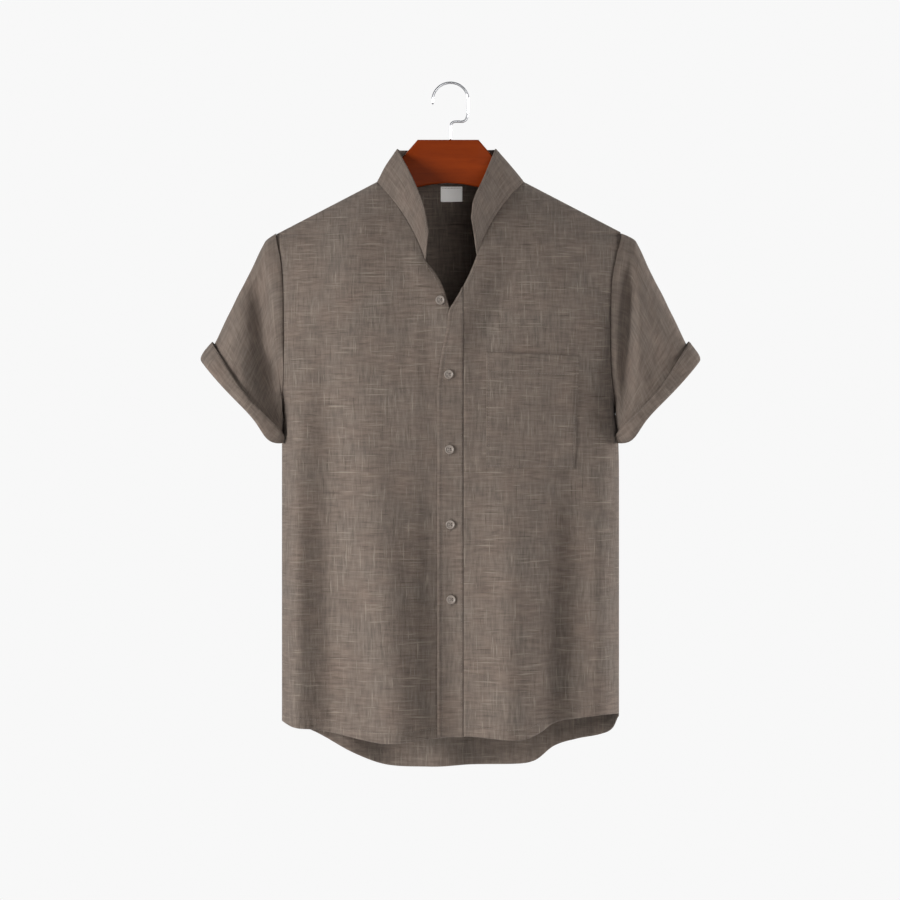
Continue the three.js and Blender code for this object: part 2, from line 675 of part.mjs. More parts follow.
// Hanger hook: a round loop, then the wire steps back under it to the stem.
function hangerHook() {
  const centreZ = HOOK_WIRE - HOOK_RADIUS;
  const points = [];
  for (let degrees = 192; degrees >= 0; degrees -= 16) {
    const angle = (degrees * Math.PI) / 180;
    points.push([HOOK_RADIUS * Math.cos(angle), centreZ + HOOK_RADIUS * Math.sin(angle)]);
  }
  points.push([22, -31], [21.2, -39], [19.4, -44.5], [15.5, -46.9], [9.5, -47]);
  points.push([4.2, -47.4], [0.9, -50], [0, -54.5], [0, -62], [0, WOOD_TOP + SEAM_GAP]);
  const path = new THREE.CatmullRomCurve3(points.map(([x, z]) => new THREE.Vector3(x, 0, z)));
  const wire = new THREE.Shape();
  const sides = 8;
  for (let k = 0; k < sides; k += 1) {
    const angle = (2 * Math.PI * k) / sides;
    const [x, y] = [HOOK_WIRE * Math.cos(angle), HOOK_WIRE * Math.sin(angle)];
    if (k === 0) wire.moveTo(x, y);
    else wire.lineTo(x, y);
  }
  const geometry = new THREE.ExtrudeGeometry(wire, { steps: 54, extrudePath: path, bevelEnabled: false });
  add("hanger_hook", geometry, steel);
}

frontPanel("front_right", -1, underEdge, underFrontY);
frontPanel("front_left", 1, (z) => Math.max(overEdge(z), PLACKET_SEAM_X), frontY);
backPanel();
placket();
pocket();
sleeve("sleeve_left", 1, LEFT_SLEEVE_FOLDS);
sleeve("sleeve_right", -1, RIGHT_SLEEVE_FOLDS);
cuff("cuff_left", 1, LEFT_SLEEVE_FOLDS);
cuff("cuff_right", -1, RIGHT_SLEEVE_FOLDS);
collar();
neckLabel();
button("button_1", NECK_BUTTON.x, NECK_BUTTON.z, underFrontY);
for (let k = 0; k < 4; k += 1) {
  const x = FIRST_PLACKET_BUTTON.x + k;
  const z = FIRST_PLACKET_BUTTON.z - k * BUTTON_PITCH;
  button("button_" + (k + 2), x, z, (atX, atZ) => frontY(atX, atZ) - PLACKET_PROUD);
}
hangerWood();
hangerHook();

export default shirt;
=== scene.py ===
"""Short-sleeved shirt with a mandarin collar on a wooden hanger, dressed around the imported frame.

Sizes are millimetres unless a comment says metres. +Z is up, -Y is the front, +X is the wearer's left.
The origin is the inside top of the hanger's hook. The cloth is slubbed and linen-like, in brown-grey.
"""
import math

import bmesh
import bpy
import numpy as np
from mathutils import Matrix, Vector


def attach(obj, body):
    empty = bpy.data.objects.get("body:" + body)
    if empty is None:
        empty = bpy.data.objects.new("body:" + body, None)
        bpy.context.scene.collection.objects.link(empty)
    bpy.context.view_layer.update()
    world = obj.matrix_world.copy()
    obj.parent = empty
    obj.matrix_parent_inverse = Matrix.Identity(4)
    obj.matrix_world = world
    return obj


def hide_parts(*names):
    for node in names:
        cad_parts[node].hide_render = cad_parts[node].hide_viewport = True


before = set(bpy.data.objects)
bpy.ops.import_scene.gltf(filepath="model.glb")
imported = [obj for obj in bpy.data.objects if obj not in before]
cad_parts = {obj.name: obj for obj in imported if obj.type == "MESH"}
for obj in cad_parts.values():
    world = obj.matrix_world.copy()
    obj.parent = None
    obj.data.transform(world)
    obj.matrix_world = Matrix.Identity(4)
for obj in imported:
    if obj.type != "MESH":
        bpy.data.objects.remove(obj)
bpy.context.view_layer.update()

MM = 0.001
BODY = "root"
TO_FRONT = np.array((0.0, -1.0, 0.0))
TO_BACK = np.array((0.0, 1.0, 0.0))

# Cloth thickness, hems and gaps
CLOTH = 0.9
FOLDED = 1.9
LABEL_TAPE = 0.5
RIM_ROUND = 0.4  # share of the cloth's thickness
HEM_THICK = 1.7
HEM_DEPTH = 14.0
HEM_STITCH = 2.0  # below the upper edge of the hem
SEAM_GAP = 0.4
SEAM_DIP = 1.1
SEAM_DIP_WIDTH = 3.2
SHOULDER_GAP = 0.2  # from a body panel to the plane of the shoulder seam
COLLAR_GAP = 0.25
LAP_STEP = 2.8
LAP_START = -46.0
LAP_RUN = 22.0

# Body form
NECK_HALF = 92.0
NECK_ROUNDING = 22.0
NECK_ROUND_DEPTH = 35.0
NECK_Z = -122.5
SHOULDER_SLOPE = 0.52
SHOULDER_FALL = 150.0
SHOULDER_ROUND = 0.7
FRONT_DEPTH = 80.0
BACK_DEPTH = 70.0
CHEST_ROUND = 2.6
BACK_NECK_RISE = 37.0
BACK_NECK_DIP = 1.5
SIDE_HALF = 210.6
ARMHOLE_TOP = -189.0
ARMHOLE_LOW = -412.0
ARMHOLE_FRONT = 39.0
ARMHOLE_BACK = 35.0
ARMHOLE_WIDEN = 0.07
ARMHOLE_WIDEN_RUN = 52.0
WRINKLE_SHARE = 0.55

# Grid of a body panel: its rows down the shoulder seam and in all, its neck corner and its hem
TOP_ROWS = 60
PANEL_ROWS = 290
SHOULDER_SHARE = 0.121
CORNER = 4.0
FRONT_HEM_Z = -816.0

# Grain of a body panel: measured along one level and one plumb line
GRAIN_STEPS = 500
GRAIN_HALF = 220.0
GRAIN_LOW = -900.0
GRAIN_TOP = -127.0
GRAIN_LEVEL_Z = -520.0
GRAIN_PLUMB_X = 100.0

# Sleeves and cuffs: a run or end is a share of the sleeve's length, and a turn is in radians from its top
ARMHOLE_RUN = 0.12
FOLD_RUN = 0.1
SLEEVE_END = 0.975
UNDERARM_PRESS = 1.6
UNDERARM_LEAN = 20.0
CUFF_CLEAR = 2.0
CUFF_BULGE = 4.5
CUFF_BULGE_OUT = 0.72
CUFF_BULGE_DOWN = 0.7
CUFF_LOW_BULGE = 2.2
CUFF_LOW_TURN = 2.5
CUFF_FOLD_STEP = 0.78
CUFF_INSIDE_STEP = 0.83

# Placket, pocket and label
PLACKET_SEAM_X = 16.5
PLACKET_TOP = -256.0
PLACKET_PROUD = 0.8
PLACKET_EDGE_STITCH = 5.0
PLACKET_SEAM_STITCH = 2.6
EDGE_STITCH_TOP = -300.0
SEAM_STITCH_TOP = -272.0
OVER_NECK_STITCH = 4.0
OVER_NECK_STITCH_END = -292.0
UNDER_NECK_STITCH = 4.5
UNDER_NECK_STITCH_END = -312.0
POCKET_CORNERS = ((44.4, -336.5), (159.5, -341.5), (153.5, -481.0), (44.6, -479.0))
POCKET_WIDTH = 112.0
POCKET_HEIGHT = 142.0
POCKET_HEM = 24.0
POCKET_STITCH = 2.5
LABEL_BOX = (-12.2, 14.8, -125.5, -143.5)

# Where each piece is cut from the roll of cloth, so that no two show the same slubs
CUT_AT = {
    "fronts": 0.0, "back": 900.0, "placket": 2100.0, "sleeves": 4000.0, "cuffs": 6000.0, "collar": 7600.0,
    "pocket": 8300.0,
}

# Buttons and stitches
BUTTON_RADIUS = 5.75
BUTTON_THICK = 2.3
BUTTON_PITCH = 92.7
BUTTON_SINK = 0.5
HOLE_RADIUS = 0.75
HOLE_PLACE = 1.35
BUTTONHOLE_HALF = 9.0
NECK_BUTTON = (-12.6, -272.5)
FIRST_BUTTON = (-2.0, -364.0)
BUTTON_SEATS = [("button_1", *NECK_BUTTON)] + [
    (f"button_{k + 2}", FIRST_BUTTON[0] + k, FIRST_BUTTON[1] - k * BUTTON_PITCH) for k in range(4)
]
STITCH = 2.5
STITCH_STEP = 3.3
STITCH_RADIUS = 0.3

# Hanger
WOOD_CENTRE_X = -3.0
WOOD_TOP = -70.0
ARM_START = 60.0
ARM_REACH = 140.0
ARM_DROOP = 0.4
HOOK_WIRE = 1.6
HOOK_RADIUS = 22.4
HOOK_BENDS = (
    # x, z from the loop's low end to the stem
    (22, -31), (21.2, -39), (19.4, -44.5), (15.5, -46.9), (9.5, -47), (4.2, -47.4), (0.9, -50),
    (0, -54.5), (0, -62),
)

# Pieces that take the cloth with full slubs; the others take the quieter cloth
SLUBBED_PIECES = ("front_left", "front_right", "back", "pocket")

# Colours of the cloth
CLOTH_GROUND = (0.187, 0.140, 0.113, 1)
CLOTH_SECOND = (0.166, 0.138, 0.116, 1)
CLOTH_PALE = (0.32, 0.27, 0.22, 1)
CLOTH_DARK = (0.088, 0.067, 0.051, 1)

# Camera, floor and lights, in metres and watts: seen straight on, from far enough for a long lens
CAMERA_DISTANCE = 6.0
CAMERA_AIM = (-0.0006, 0.0, -0.4575)
VIEW_WIDTH = 1.125
FLOOR_Z = -1.3
FLOOR_RADIUS = 2.6
BACKDROP = (0.938, 0.938, 0.938, 1)
LIGHT_AIM = (0.0, 0.0, -0.45)
LIGHTS = (
    # name, place, size, power
    ("key", (-3.5, -2.2, -0.25), 1.8, 162.0),
    ("front", (1.1, -4.5, -0.25), 2.4, 58.0),
    ("kicker", (3.6, 0.4, 0.1), 1.6, 95.0),
)


def table(names, *rows):
    """Rows of numbers as named columns."""
    return dict(zip(names.split(), np.array(rows, float).T))


SIDE_EDGES = table(
    "z right left",
    (-100, 219, 215), (-189, 217.5, 212.5), (-217, 211.6, 206), (-247, 208.5, 200.5), (-297, 207, 198.5),
    (-356, 207.5, 199.5), (-400, 209, 204), (-442, 210.6, 209.5), (-520, 210.6, 210.6), (-900, 210.6, 210.6),
)
FRONT_EDGES = table(
    "z under over",
    (-122.5, -92, 92), (-144.5, -73.5, 72), (-168, -57, 55.2), (-193, -43.2, 42), (-216, -33.5, 33),
    (-223, -31, 30.5), (-239, -18.5, 24), (-255, -10, 16), (-271, -4.8, 7), (-285, -0.6, -1),
    (-307, 7, -4.4), (-345, 14, -11.9), (-389, 14, -15.6), (-900, 14, -15.6),
)
UNDER_SEAM_END = -223.0
OVER_SEAM_END = -216.0
HEMS = table(
    "x front back",
    (-210.6, -795, -795), (-195, -801, -801), (-165, -804, -815), (-120, -813, -840), (-80, -819, -855),
    (-25, -814, -857), (20, -811, -854.5), (85, -814.5, -853.5), (108, -808, -848), (130, -794.5, -830),
    (160, -789, -821), (190, -785, -814), (204, -785, -806), (210.6, -786, -790),
)
# Share of the sleeve's length that the turned-up cuff covers, by the angle from its top over its front.
CUFF_SHARES = table(
    "angle share",
    (0, 0.17), (50, 0.15), (90, 0.11), (120, 0.135), (150, 0.21), (180, 0.2), (270, 0.17), (360, 0.17),
)
# Section of the rolled cuff from its free edge round the roll: how far up it lies, and its offset.
CUFF_SECTION = table(
    "step up offset",
    (0, 1, 4.2), (0.25, 0.78, 5.8), (0.5, 0.5, 6.2), (0.62, 0.3, 5.7), (0.7, 0.14, 4.5), (0.77, 0.03, 2.4),
    (0.83, 0, 0.2), (0.88, 0.06, -1.8), (0.93, 0.2, -3.0), (1, 0.45, -3.4),
)
SLEEVE_RINGS = table(
    "along topX topZ lowZ front back",
    (0, 213, -186.3, -412, 39, 35), (0.05, 224.5, -188.2, -414, 40, 36), (0.12, 232, -197, -417, 41, 37),
    (0.36, 252, -238, -424, 44, 40), (0.62, 276, -286, -431, 46, 42), (0.86, 297.5, -331, -438, 45, 42),
    (1, 311, -347, -446, 42, 40),
)
NECK_POINT = 0.55
COLLAR_TOP = table(
    "along rightX rightZ leftX leftZ y",
    (0, -27, -188, 26.5, -170, -74),
    (0.15, -33, -157, 29.5, -148, -65),
    (0.35, -47, -121, 42, -119, -41),
    (0.55, -65.5, -84, 57, -81.5, -8),
    (0.7, -63, -82.5, 57, -81.5, 13),
    (0.85, -39, -82, 36, -81.5, 27),
    (1, 0, -82, 0, -82, 32),
)
WOOD_SECTIONS = table(
    "x top low half round",
    (0, -70, -124, 6.5, 2), (20, -70, -125.5, 6.5, 2), (38, -70, -129, 6.6, 2), (55, -89.6, -135.5, 7, 3),
    (71, -108, -144, 7.5, 5), (82, -126.5, -150.5, 8, 7), (95, -131.6, -157.5, 8.6, 8),
    (125, -147.2, -173, 9.6, 9), (160, -165.4, -189, 10.4, 9.5), (190, -181, -202, 10.4, 9.5),
    (200, -188.5, -203, 7.5, 6.5),
)

# Folds as lines of the front view: start, end, half width of the section, height (troughs are negative),
# and 1 where the fold runs out over the hem.
FOLD_COLUMNS = "x0 z0 x1 z1 width height open"
FRONT_FOLDS = table(
    FOLD_COLUMNS,
    (-106, -330, -68, -820, 32, 18, 1),
    (84, -360, 74, -820, 30, 19, 1),
    (-158, -225, -146, -820, 25, -22, 1),
    (150, -340, 138, -820, 24, -20, 1),
    (192, -380, 190, -800, 17, 16, 1),
    (-197, -280, -196, -800, 15, 19, 1),
    (-8, -420, 4, -820, 30, -12, 1),
    (98, -170, 14, -380, 24, -6, 0),
    (62, -150, -10, -372, 20, 6, 0),
    (-60, -156, 10, -350, 20, 4, 0),
    (-113, -136, -128, -290, 22, 4, 0),
    (150, -190, 120, -340, 22, 4, 0),
    (-176, -300, -120, -520, 20, -4, 0),
)
FRONT_WRINKLES = table(
    FOLD_COLUMNS,
    (-198, -392, -120, -470, 9, -2.2, 0),
    (-200, -430, -150, -560, 8, 1.6, 0),
    (196, -396, 132, -500, 9, -2.2, 0),
    (202, -440, 176, -600, 8, 1.8, 0),
    (-62, -200, -96, -330, 10, 1.6, 0),
    (-40, -236, -70, -420, 9, -1.6, 0),
    (52, -246, 30, -340, 8, 1.8, 0),
    (-112, -560, -104, -815, 8, -1.8, 1),
    (-52, -600, -48, -815, 9, -1.6, 1),
    (52, -590, 48, -812, 9, -1.8, 1),
    (112, -640, 106, -806, 8, 1.5, 1),
    (-170, -620, -166, -800, 7, -1.4, 1),
    (160, -560, 152, -790, 8, 1.6, 1),
    (26, -400, 34, -520, 7, -1.0, 0),
    (-34, -380, -24, -520, 8, 1.0, 0),
    (-30, -540, -26, -690, 7, -0.9, 0),
    (30, -560, 27, -700, 7, 1.0, 0),
    (-180, -215, -196, -350, 9, -1.8, 0),
    (172, -212, 188, -340, 9, -1.8, 0),
    (-150, -172, -110, -186, 8, -1.2, 0),
    (120, -160, 160, -176, 8, -1.1, 0),
)
BACK_FOLDS = table(
    FOLD_COLUMNS,
    (-60, -330, -70, -860, 32, 9, 1),
    (66, -380, 60, -860, 34, 8, 1),
    (0, -420, -6, -860, 26, -9, 1),
    (-132, -400, -126, -850, 24, -8, 1),
    (138, -380, 122, -850, 20, -10, 1),
    (176, -420, 160, -820, 17, 5, 1),
    (-178, -430, -172, -820, 17, 5, 1),
    (-150, -210, -60, -400, 24, -5, 0),
    (146, -215, 70, -420, 24, -5, 0),
)
BACK_WRINKLES = table(
    FOLD_COLUMNS,
    (-196, -392, -126, -480, 9, -2.2, 0),
    (194, -392, 130, -490, 9, -2.2, 0),
    (-30, -170, -70, -260, 12, 1.6, 0),
    (34, -170, 78, -268, 12, 1.6, 0),
    (0, -150, 4, -330, 14, -1.5, 0),
    (-94, -560, -100, -845, 9, -1.8, 1),
    (-34, -540, -38, -855, 9, 1.7, 1),
    (28, -600, 24, -855, 8, 1.6, 1),
    (92, -580, 96, -852, 9, -1.9, 1),
    (-156, -600, -150, -820, 8, 1.5, 1),
    (150, -620, 143, -815, 8, 1.6, 1),
    (-186, -216, -192, -350, 9, -1.6, 0),
    (182, -214, 186, -345, 9, -1.6, 0),
)
LEFT_SLEEVE_FOLDS = table(
    FOLD_COLUMNS,
    (224, -196, 215, -436, 9, -15, 0),
    (262, -300, 248, -390, 15, -5, 0),
    (236, -230, 234, -400, 7, 2.2, 0),
    (262, -262, 284, -340, 8, -1.6, 0),
    (250, -300, 226, -404, 7, -2.0, 0),
)
RIGHT_SLEEVE_FOLDS = table(
    FOLD_COLUMNS,
    (-241, -206, -228, -425, 15, -20, 0),
    (-219, -320, -216, -440, 14, -13, 0),
    (-222, -215, -219, -360, 7, 2.0, 0),
    (-264, -250, -276, -340, 10, 2.0, 0),
    (-256, -300, -246, -392, 8, -2.0, 0),
)
SLEEVES = (("left", 1, LEFT_SLEEVE_FOLDS), ("right", -1, RIGHT_SLEEVE_FOLDS))


# Form functions

def ease(value):
    t = np.clip(value, 0, 1)
    return t * t * (3 - 2 * t)


def mix(a, b, t):
    return a + (b - a) * t


def bell(value, centre, width):
    """Soft hill of height 1."""
    return np.exp(-(((value - centre) / width) ** 2))


def unit_grid(columns, rows):
    return np.meshgrid(np.linspace(0, 1, columns + 1), np.linspace(0, 1, rows + 1))


def column(rows, key, at, name):
    """Smooth value of one column at places given by another column."""
    keys, values = rows[key], rows[name]
    order = 1 if keys[-1] > keys[0] else -1
    at = np.asarray(at, float)
    k = np.clip(np.searchsorted(order * keys, order * at) - 1, 0, len(keys) - 2)
    slopes = np.empty_like(values)
    slopes[1:-1] = (values[2:] - values[:-2]) / (keys[2:] - keys[:-2])
    slopes[0] = (values[1] - values[0]) / (keys[1] - keys[0])
    slopes[-1] = (values[-1] - values[-2]) / (keys[-1] - keys[-2])
    span = keys[k + 1] - keys[k]
    t = np.clip((at - keys[k]) / span, 0, 1)
    bent = values[k + 1] != values[k]
    m0 = slopes[k] * span * bent
    m1 = slopes[k + 1] * span * bent
    t2, t3 = t * t, t * t * t
    return ((2 * t3 - 3 * t2 + 1) * values[k] + (t3 - 2 * t2 + t) * m0
            + (3 * t2 - 2 * t3) * values[k + 1] + (t3 - t2) * m1)


def fold_height(folds, x, z):
    total = np.zeros(np.broadcast(x, z).shape)
    for x0, z0, x1, z1, width, height, is_open in zip(*(folds[n] for n in FOLD_COLUMNS.split())):
        run_x, run_z = x1 - x0, z1 - z0
        along = ((x - x0) * run_x + (z - z0) * run_z) / (run_x ** 2 + run_z ** 2)
        near = np.clip(along, 0, 1)
        away = np.hypot(x - x0 - near * run_x, z - z0 - near * run_z)
        if is_open:
            away = np.where(along > 1, np.abs(x - x1), away)
            fade = ease(along * 1.4)
        else:
            fade = ease(along * 3) * ease((1 - along) * 3)
        total += height * fade * bell(away, 0, width)
    return total


def drift(x, z, size, seed):
    """Soft uneven swell from -1 to 1, with hills about `size` apart."""
    cells = 64
    lattice = np.random.default_rng(seed).uniform(-1, 1, (cells, cells))
    gx, gz = np.asarray(x) / size + 1000.0, np.asarray(z) / size + 1000.0
    ix, iz = np.floor(gx).astype(int), np.floor(gz).astype(int)
    tx, tz = ease(gx - ix), ease(gz - iz)
    ix, iz = ix % cells, iz % cells
    jx, jz = (ix + 1) % cells, (iz + 1) % cells
    low = mix(lattice[ix, iz], lattice[jx, iz], tx)
    high = mix(lattice[ix, jz], lattice[jx, jz], tx)
    return mix(low, high, tz)


def edge_x(x, z):
    right, left = column(SIDE_EDGES, "z", z, "right"), column(SIDE_EDGES, "z", z, "left")
    return np.where(np.asarray(x) < 0, right, left)


def shoulder_z(x):
    return NECK_Z - SHOULDER_SLOPE * np.maximum(0, np.abs(x) - NECK_HALF)


def shoulder_drop(x, z):
    """Height below the shoulder line. Its corner at the neck is rounded off away from the seam."""
    beyond = np.abs(x) - NECK_HALF
    drop = shoulder_z(x) - z
    softer = (beyond + np.hypot(beyond, NECK_ROUNDING)) / 2 - np.maximum(0, beyond)
    return drop - SHOULDER_SLOPE * softer * ease(drop / NECK_ROUND_DEPTH)


def shoulder_round(drop):
    s = np.clip(1 - drop / SHOULDER_FALL, 0, 1)
    return (1 - s * s) ** SHOULDER_ROUND


def chest_round(ratio):
    return (1 - np.minimum(1, ratio) ** CHEST_ROUND) ** (1 / CHEST_ROUND)


def armhole_half(z, half):
    middle = (ARMHOLE_TOP + ARMHOLE_LOW) / 2
    reach = (ARMHOLE_TOP - ARMHOLE_LOW) / 2
    return half * np.sqrt(np.maximum(0, 1 - ((z - middle) / reach) ** 2))


def cloth_depth(x, z, depth, rise, armhole):
    """Distance of the plain hung cloth from the shoulder plane y = 0."""
    edge = edge_x(x, z)
    widen = 1 + ARMHOLE_WIDEN * ease((z - ARMHOLE_LOW) / ARMHOLE_WIDEN_RUN)
    full = depth * shoulder_round(shoulder_drop(x, z) + rise)
    at_edge = depth * shoulder_round(shoulder_drop(edge, z)) * chest_round(1 / widen)
    ratio = np.minimum(1, np.abs(x) / edge)
    return full * chest_round(ratio / widen) + (armhole_half(z, armhole) - at_edge) * ratio ** 6


def dressed_depth(x, z, depth, folds, wrinkles, seed):
    """Plain cloth with its folds, small wrinkles, an uneven swell and the dip of the armhole seam."""
    edge = edge_x(x, z)
    side = 1 - np.minimum(1, np.abs(x) / edge) ** 8
    relief = fold_height(folds, x, z) + WRINKLE_SHARE * fold_height(wrinkles, x, z)
    relief = relief + 1.1 * drift(x, z * 0.4, 46, seed) + 0.35 * drift(x, z * 0.5, 17, seed + 1)
    in_armhole = ease((z - ARMHOLE_LOW) / 20)
    dip = SEAM_DIP * in_armhole * bell(edge - np.abs(x), 0, SEAM_DIP_WIDTH) * ease(depth / 12)
    return depth + relief * side * ease(depth / 40) - dip


def front_y(x, z):
    depth = cloth_depth(x, z, FRONT_DEPTH, 0, ARMHOLE_FRONT)
    return -np.maximum(SHOULDER_GAP, dressed_depth(x, z, depth, FRONT_FOLDS, FRONT_WRINKLES, 11))


def under_front_y(x, z):
    return front_y(x, z) + LAP_STEP * ease((x - LAP_START) / LAP_RUN)


def back_y(x, z):
    rise = BACK_NECK_RISE * np.maximum(0, 1 - (x / NECK_HALF) ** 2) ** 0.8
    depth = cloth_depth(x, z, BACK_DEPTH, rise, ARMHOLE_BACK)
    return np.maximum(SHOULDER_GAP, dressed_depth(x, z, depth, BACK_FOLDS, BACK_WRINKLES, 23))


def under_edge(z):
    return column(FRONT_EDGES, "z", z, "under")


def over_edge(z):
    return column(FRONT_EDGES, "z", z, "over")


def placket_side(z):
    """Edge of the left front: the neck line, and then the placket's seam."""
    return np.maximum(over_edge(z), PLACKET_SEAM_X)


def hem_z(x, which):
    return column(HEMS, "x", x, which)


def back_neck_z(x):
    return NECK_Z - BACK_NECK_DIP * np.sqrt(np.maximum(0, 1 - (x / NECK_HALF) ** 2))


def points_of(x, y, z):
    return np.stack(np.broadcast_arrays(x, y, z), axis=-1).astype(float)


def lifted(surface, x, z, distance):
    """Points of a surface moved square to it, outwards for a positive distance, and the way they moved."""
    x, z = np.broadcast_arrays(np.asarray(x, float), np.asarray(z, float))
    step = 1.5
    y = surface(x, z)
    tilt_x = (surface(x + step, z) - surface(x - step, z)) / (2 * step)
    tilt_z = (surface(x, z + step) - surface(x, z - step)) / (2 * step)
    side = np.sign(y)
    facing = points_of(-side * tilt_x, side, -side * tilt_z)
    facing /= np.linalg.norm(facing, axis=-1, keepdims=True)
    return points_of(x, y, z) + facing * np.asarray(distance)[..., None], facing


# Mesh making

def link_object(name, data):
    obj = bpy.data.objects.new(name, data)
    bpy.context.scene.collection.objects.link(obj)
    return obj


def new_object(name, vertices, faces, uvs=None):
    mesh = bpy.data.meshes.new(name)
    mesh.from_pydata((np.asarray(vertices) * MM).tolist(), [], faces)
    if uvs is not None:
        layer = mesh.uv_layers.new(name="UVMap")
        corners = np.empty(len(mesh.loops), dtype=np.int32)
        mesh.loops.foreach_get("vertex_index", corners)
        layer.data.foreach_set("uv", (np.asarray(uvs)[corners] * MM).astype(np.float32).ravel())
    mesh.shade_smooth()
    return link_object(name, mesh)


def circle(radius, sides, x=0.0, y=0.0):
    """Points round a centre."""
    turns = [2 * math.pi * k / sides for k in range(sides)]
    return [(x + radius * math.cos(turn), y + radius * math.sin(turn)) for turn in turns]


def joined(name, parts):
    """One mesh from several parts of vertices and faces."""
    vertices, faces, count = [], [], 0
    for part_vertices, part_faces in parts:
        vertices.append(np.asarray(part_vertices))
        faces.extend([tuple(i + count for i in face) for face in part_faces])
        count += len(part_vertices)
    return new_object(name, np.concatenate(vertices), faces)


def mend(obj):
    """Drops loose points and turns all faces outwards."""
    shape = bmesh.new()
    shape.from_mesh(obj.data)
    loose = [vertex for vertex in shape.verts if not vertex.link_faces]
    bmesh.ops.delete(shape, geom=loose, context="VERTS")
    bmesh.ops.recalc_face_normals(shape, faces=shape.faces)
    shape.to_mesh(obj.data)
    shape.free()
    obj.data.shade_smooth()


def ring_faces(rings, sides):
    """Faces of a capped tube whose points are rings of `sides` points, one ring after another."""
    faces = []
    for r in range(rings - 1):
        for k in range(sides):
            n = (k + 1) % sides
            faces.append((r * sides + k, r * sides + n, (r + 1) * sides + n, (r + 1) * sides + k))
    faces.append(tuple(range(sides - 1, -1, -1)))
    faces.append(tuple(range((rings - 1) * sides, rings * sides)))
    return faces


def grid_normals(points, ring):
    if ring:
        du = np.roll(points, -1, axis=1) - np.roll(points, 1, axis=1)
    else:
        du = np.gradient(points, axis=1)
    normals = np.cross(du, np.gradient(points, axis=0))
    return normals / np.maximum(np.linalg.norm(normals, axis=-1, keepdims=True), 1e-9)


def running_length(points, axis):
    steps = np.linalg.norm(np.diff(points, axis=axis), axis=-1)
    start = np.zeros_like(np.take(steps, [0], axis=axis))
    return np.concatenate([start, np.cumsum(steps, axis=axis)], axis=axis)


def even_uv(points, start):
    """Straight grain along rows and columns, true to size in the mean."""
    across = running_length(points, 1).mean(axis=0)
    down = running_length(points, 0).mean(axis=1)
    u, v = np.meshgrid(across, down)
    return np.stack([start + u, down[-1] - v], axis=-1)


def hung_uv(x, z, depth, start):
    """Grain of a body panel: plumb and level threads in the front view, true to size on the plain form."""
    line_x = np.linspace(-GRAIN_HALF, GRAIN_HALF, GRAIN_STEPS)
    line_z = np.linspace(GRAIN_LOW, GRAIN_TOP, GRAIN_STEPS)
    y_of_x = cloth_depth(line_x, np.full(GRAIN_STEPS, GRAIN_LEVEL_Z), depth, 0, 0)
    y_of_z = cloth_depth(np.full(GRAIN_STEPS, GRAIN_PLUMB_X), line_z, depth, 0, 0)
    u_table = np.append(0, np.cumsum(np.hypot(np.diff(line_x), np.diff(y_of_x))))
    v_table = np.append(0, np.cumsum(np.hypot(np.diff(line_z), np.diff(y_of_z))))
    v = np.interp(z, line_z, v_table) + np.maximum(0, z - line_z[-1])
    return np.stack([start + np.interp(x, line_x, u_table), v], axis=-1)


def shell(name, points, thickness, outward, uv, ring=False, keep=None):
    """Closed thin cloth from an outer grid of points (rows, columns, 3), with rounded edges, and its area.

    outward gives, for the grid, directions that roughly leave the hollow. keep may correct the inner points.
    """
    rows, columns = points.shape[:2]
    normals = grid_normals(points, ring)
    sign = 1.0 if np.sum(normals * outward) > 0 else -1.0
    normals = normals * sign
    thick = np.broadcast_to(np.asarray(thickness, float), (rows, columns))
    inner = points - normals * thick[..., None]
    if keep is not None:
        inner = keep(inner)
    index = np.arange(rows * columns).reshape(rows, columns)
    across = np.concatenate([index, index[:, :1]], axis=1) if ring else index
    a, b, c, d = across[:-1, :-1], across[:-1, 1:], across[1:, 1:], across[1:, :-1]
    quads = np.stack([a, b, c, d], axis=-1).reshape(-1, 4)
    count = rows * columns
    outer_faces = quads if sign > 0 else quads[:, ::-1]
    faces = [outer_faces, outer_faces[:, ::-1] + count]
    vertices = [points.reshape(-1, 3), inner.reshape(-1, 3)]
    uvs = [uv.reshape(-1, 2), uv.reshape(-1, 2)]

    def edge_strip(line, before, flip):
        """Rounded rim along one line of grid indices. before is the line just inside it."""
        flat_outer, flat_inner = vertices[0], vertices[1]
        out = flat_outer[line] - flat_outer[before]
        out /= np.maximum(np.linalg.norm(out, axis=-1, keepdims=True), 1e-9)
        thick_here = np.linalg.norm(flat_outer[line] - flat_inner[line], axis=-1, keepdims=True)
        middle = (flat_outer[line] + flat_inner[line]) / 2 + out * thick_here * RIM_ROUND
        start = sum(len(part) for part in vertices)
        vertices.append(middle)
        uvs.append(uvs[0][line])
        mid = start + np.arange(len(line))
        for first, second in ((line, mid), (mid, line + count)):
            strip = np.stack([first[:-1], second[:-1], second[1:], first[1:]], axis=-1)
            faces.append(strip[:, ::-1] if flip else strip)
        return mid

    flip = sign < 0
    if ring:
        for line, before, turned in ((index[0], index[1], flip), (index[-1], index[-2], not flip)):
            closed_line = np.append(line, line[0])
            closed_before = np.append(before, before[0])
            mid = edge_strip(closed_line, closed_before, turned)
            # The rim's last middle point is its first one again.
            for part in faces[-2:]:
                part[part == mid[-1]] = mid[0]
    else:
        corners = {}
        sides = (
            (index[0, :], index[1, :], flip),
            (index[-1, :], index[-2, :], not flip),
            (index[:, 0], index[:, 1], not flip),
            (index[:, -1], index[:, -2], flip),
        )
        for line, before, turned in sides:
            mid = edge_strip(line, before, turned)
            for end in (0, -1):
                known = corners.setdefault(int(line[end]), int(mid[end]))
                if known != mid[end]:
                    for part in faces[-2:]:
                        part[part == mid[end]] = known
    obj = new_object(name, np.concatenate(vertices), np.concatenate(faces).tolist(), np.concatenate(uvs))
    mend(obj)
    return obj, grid_area(points)


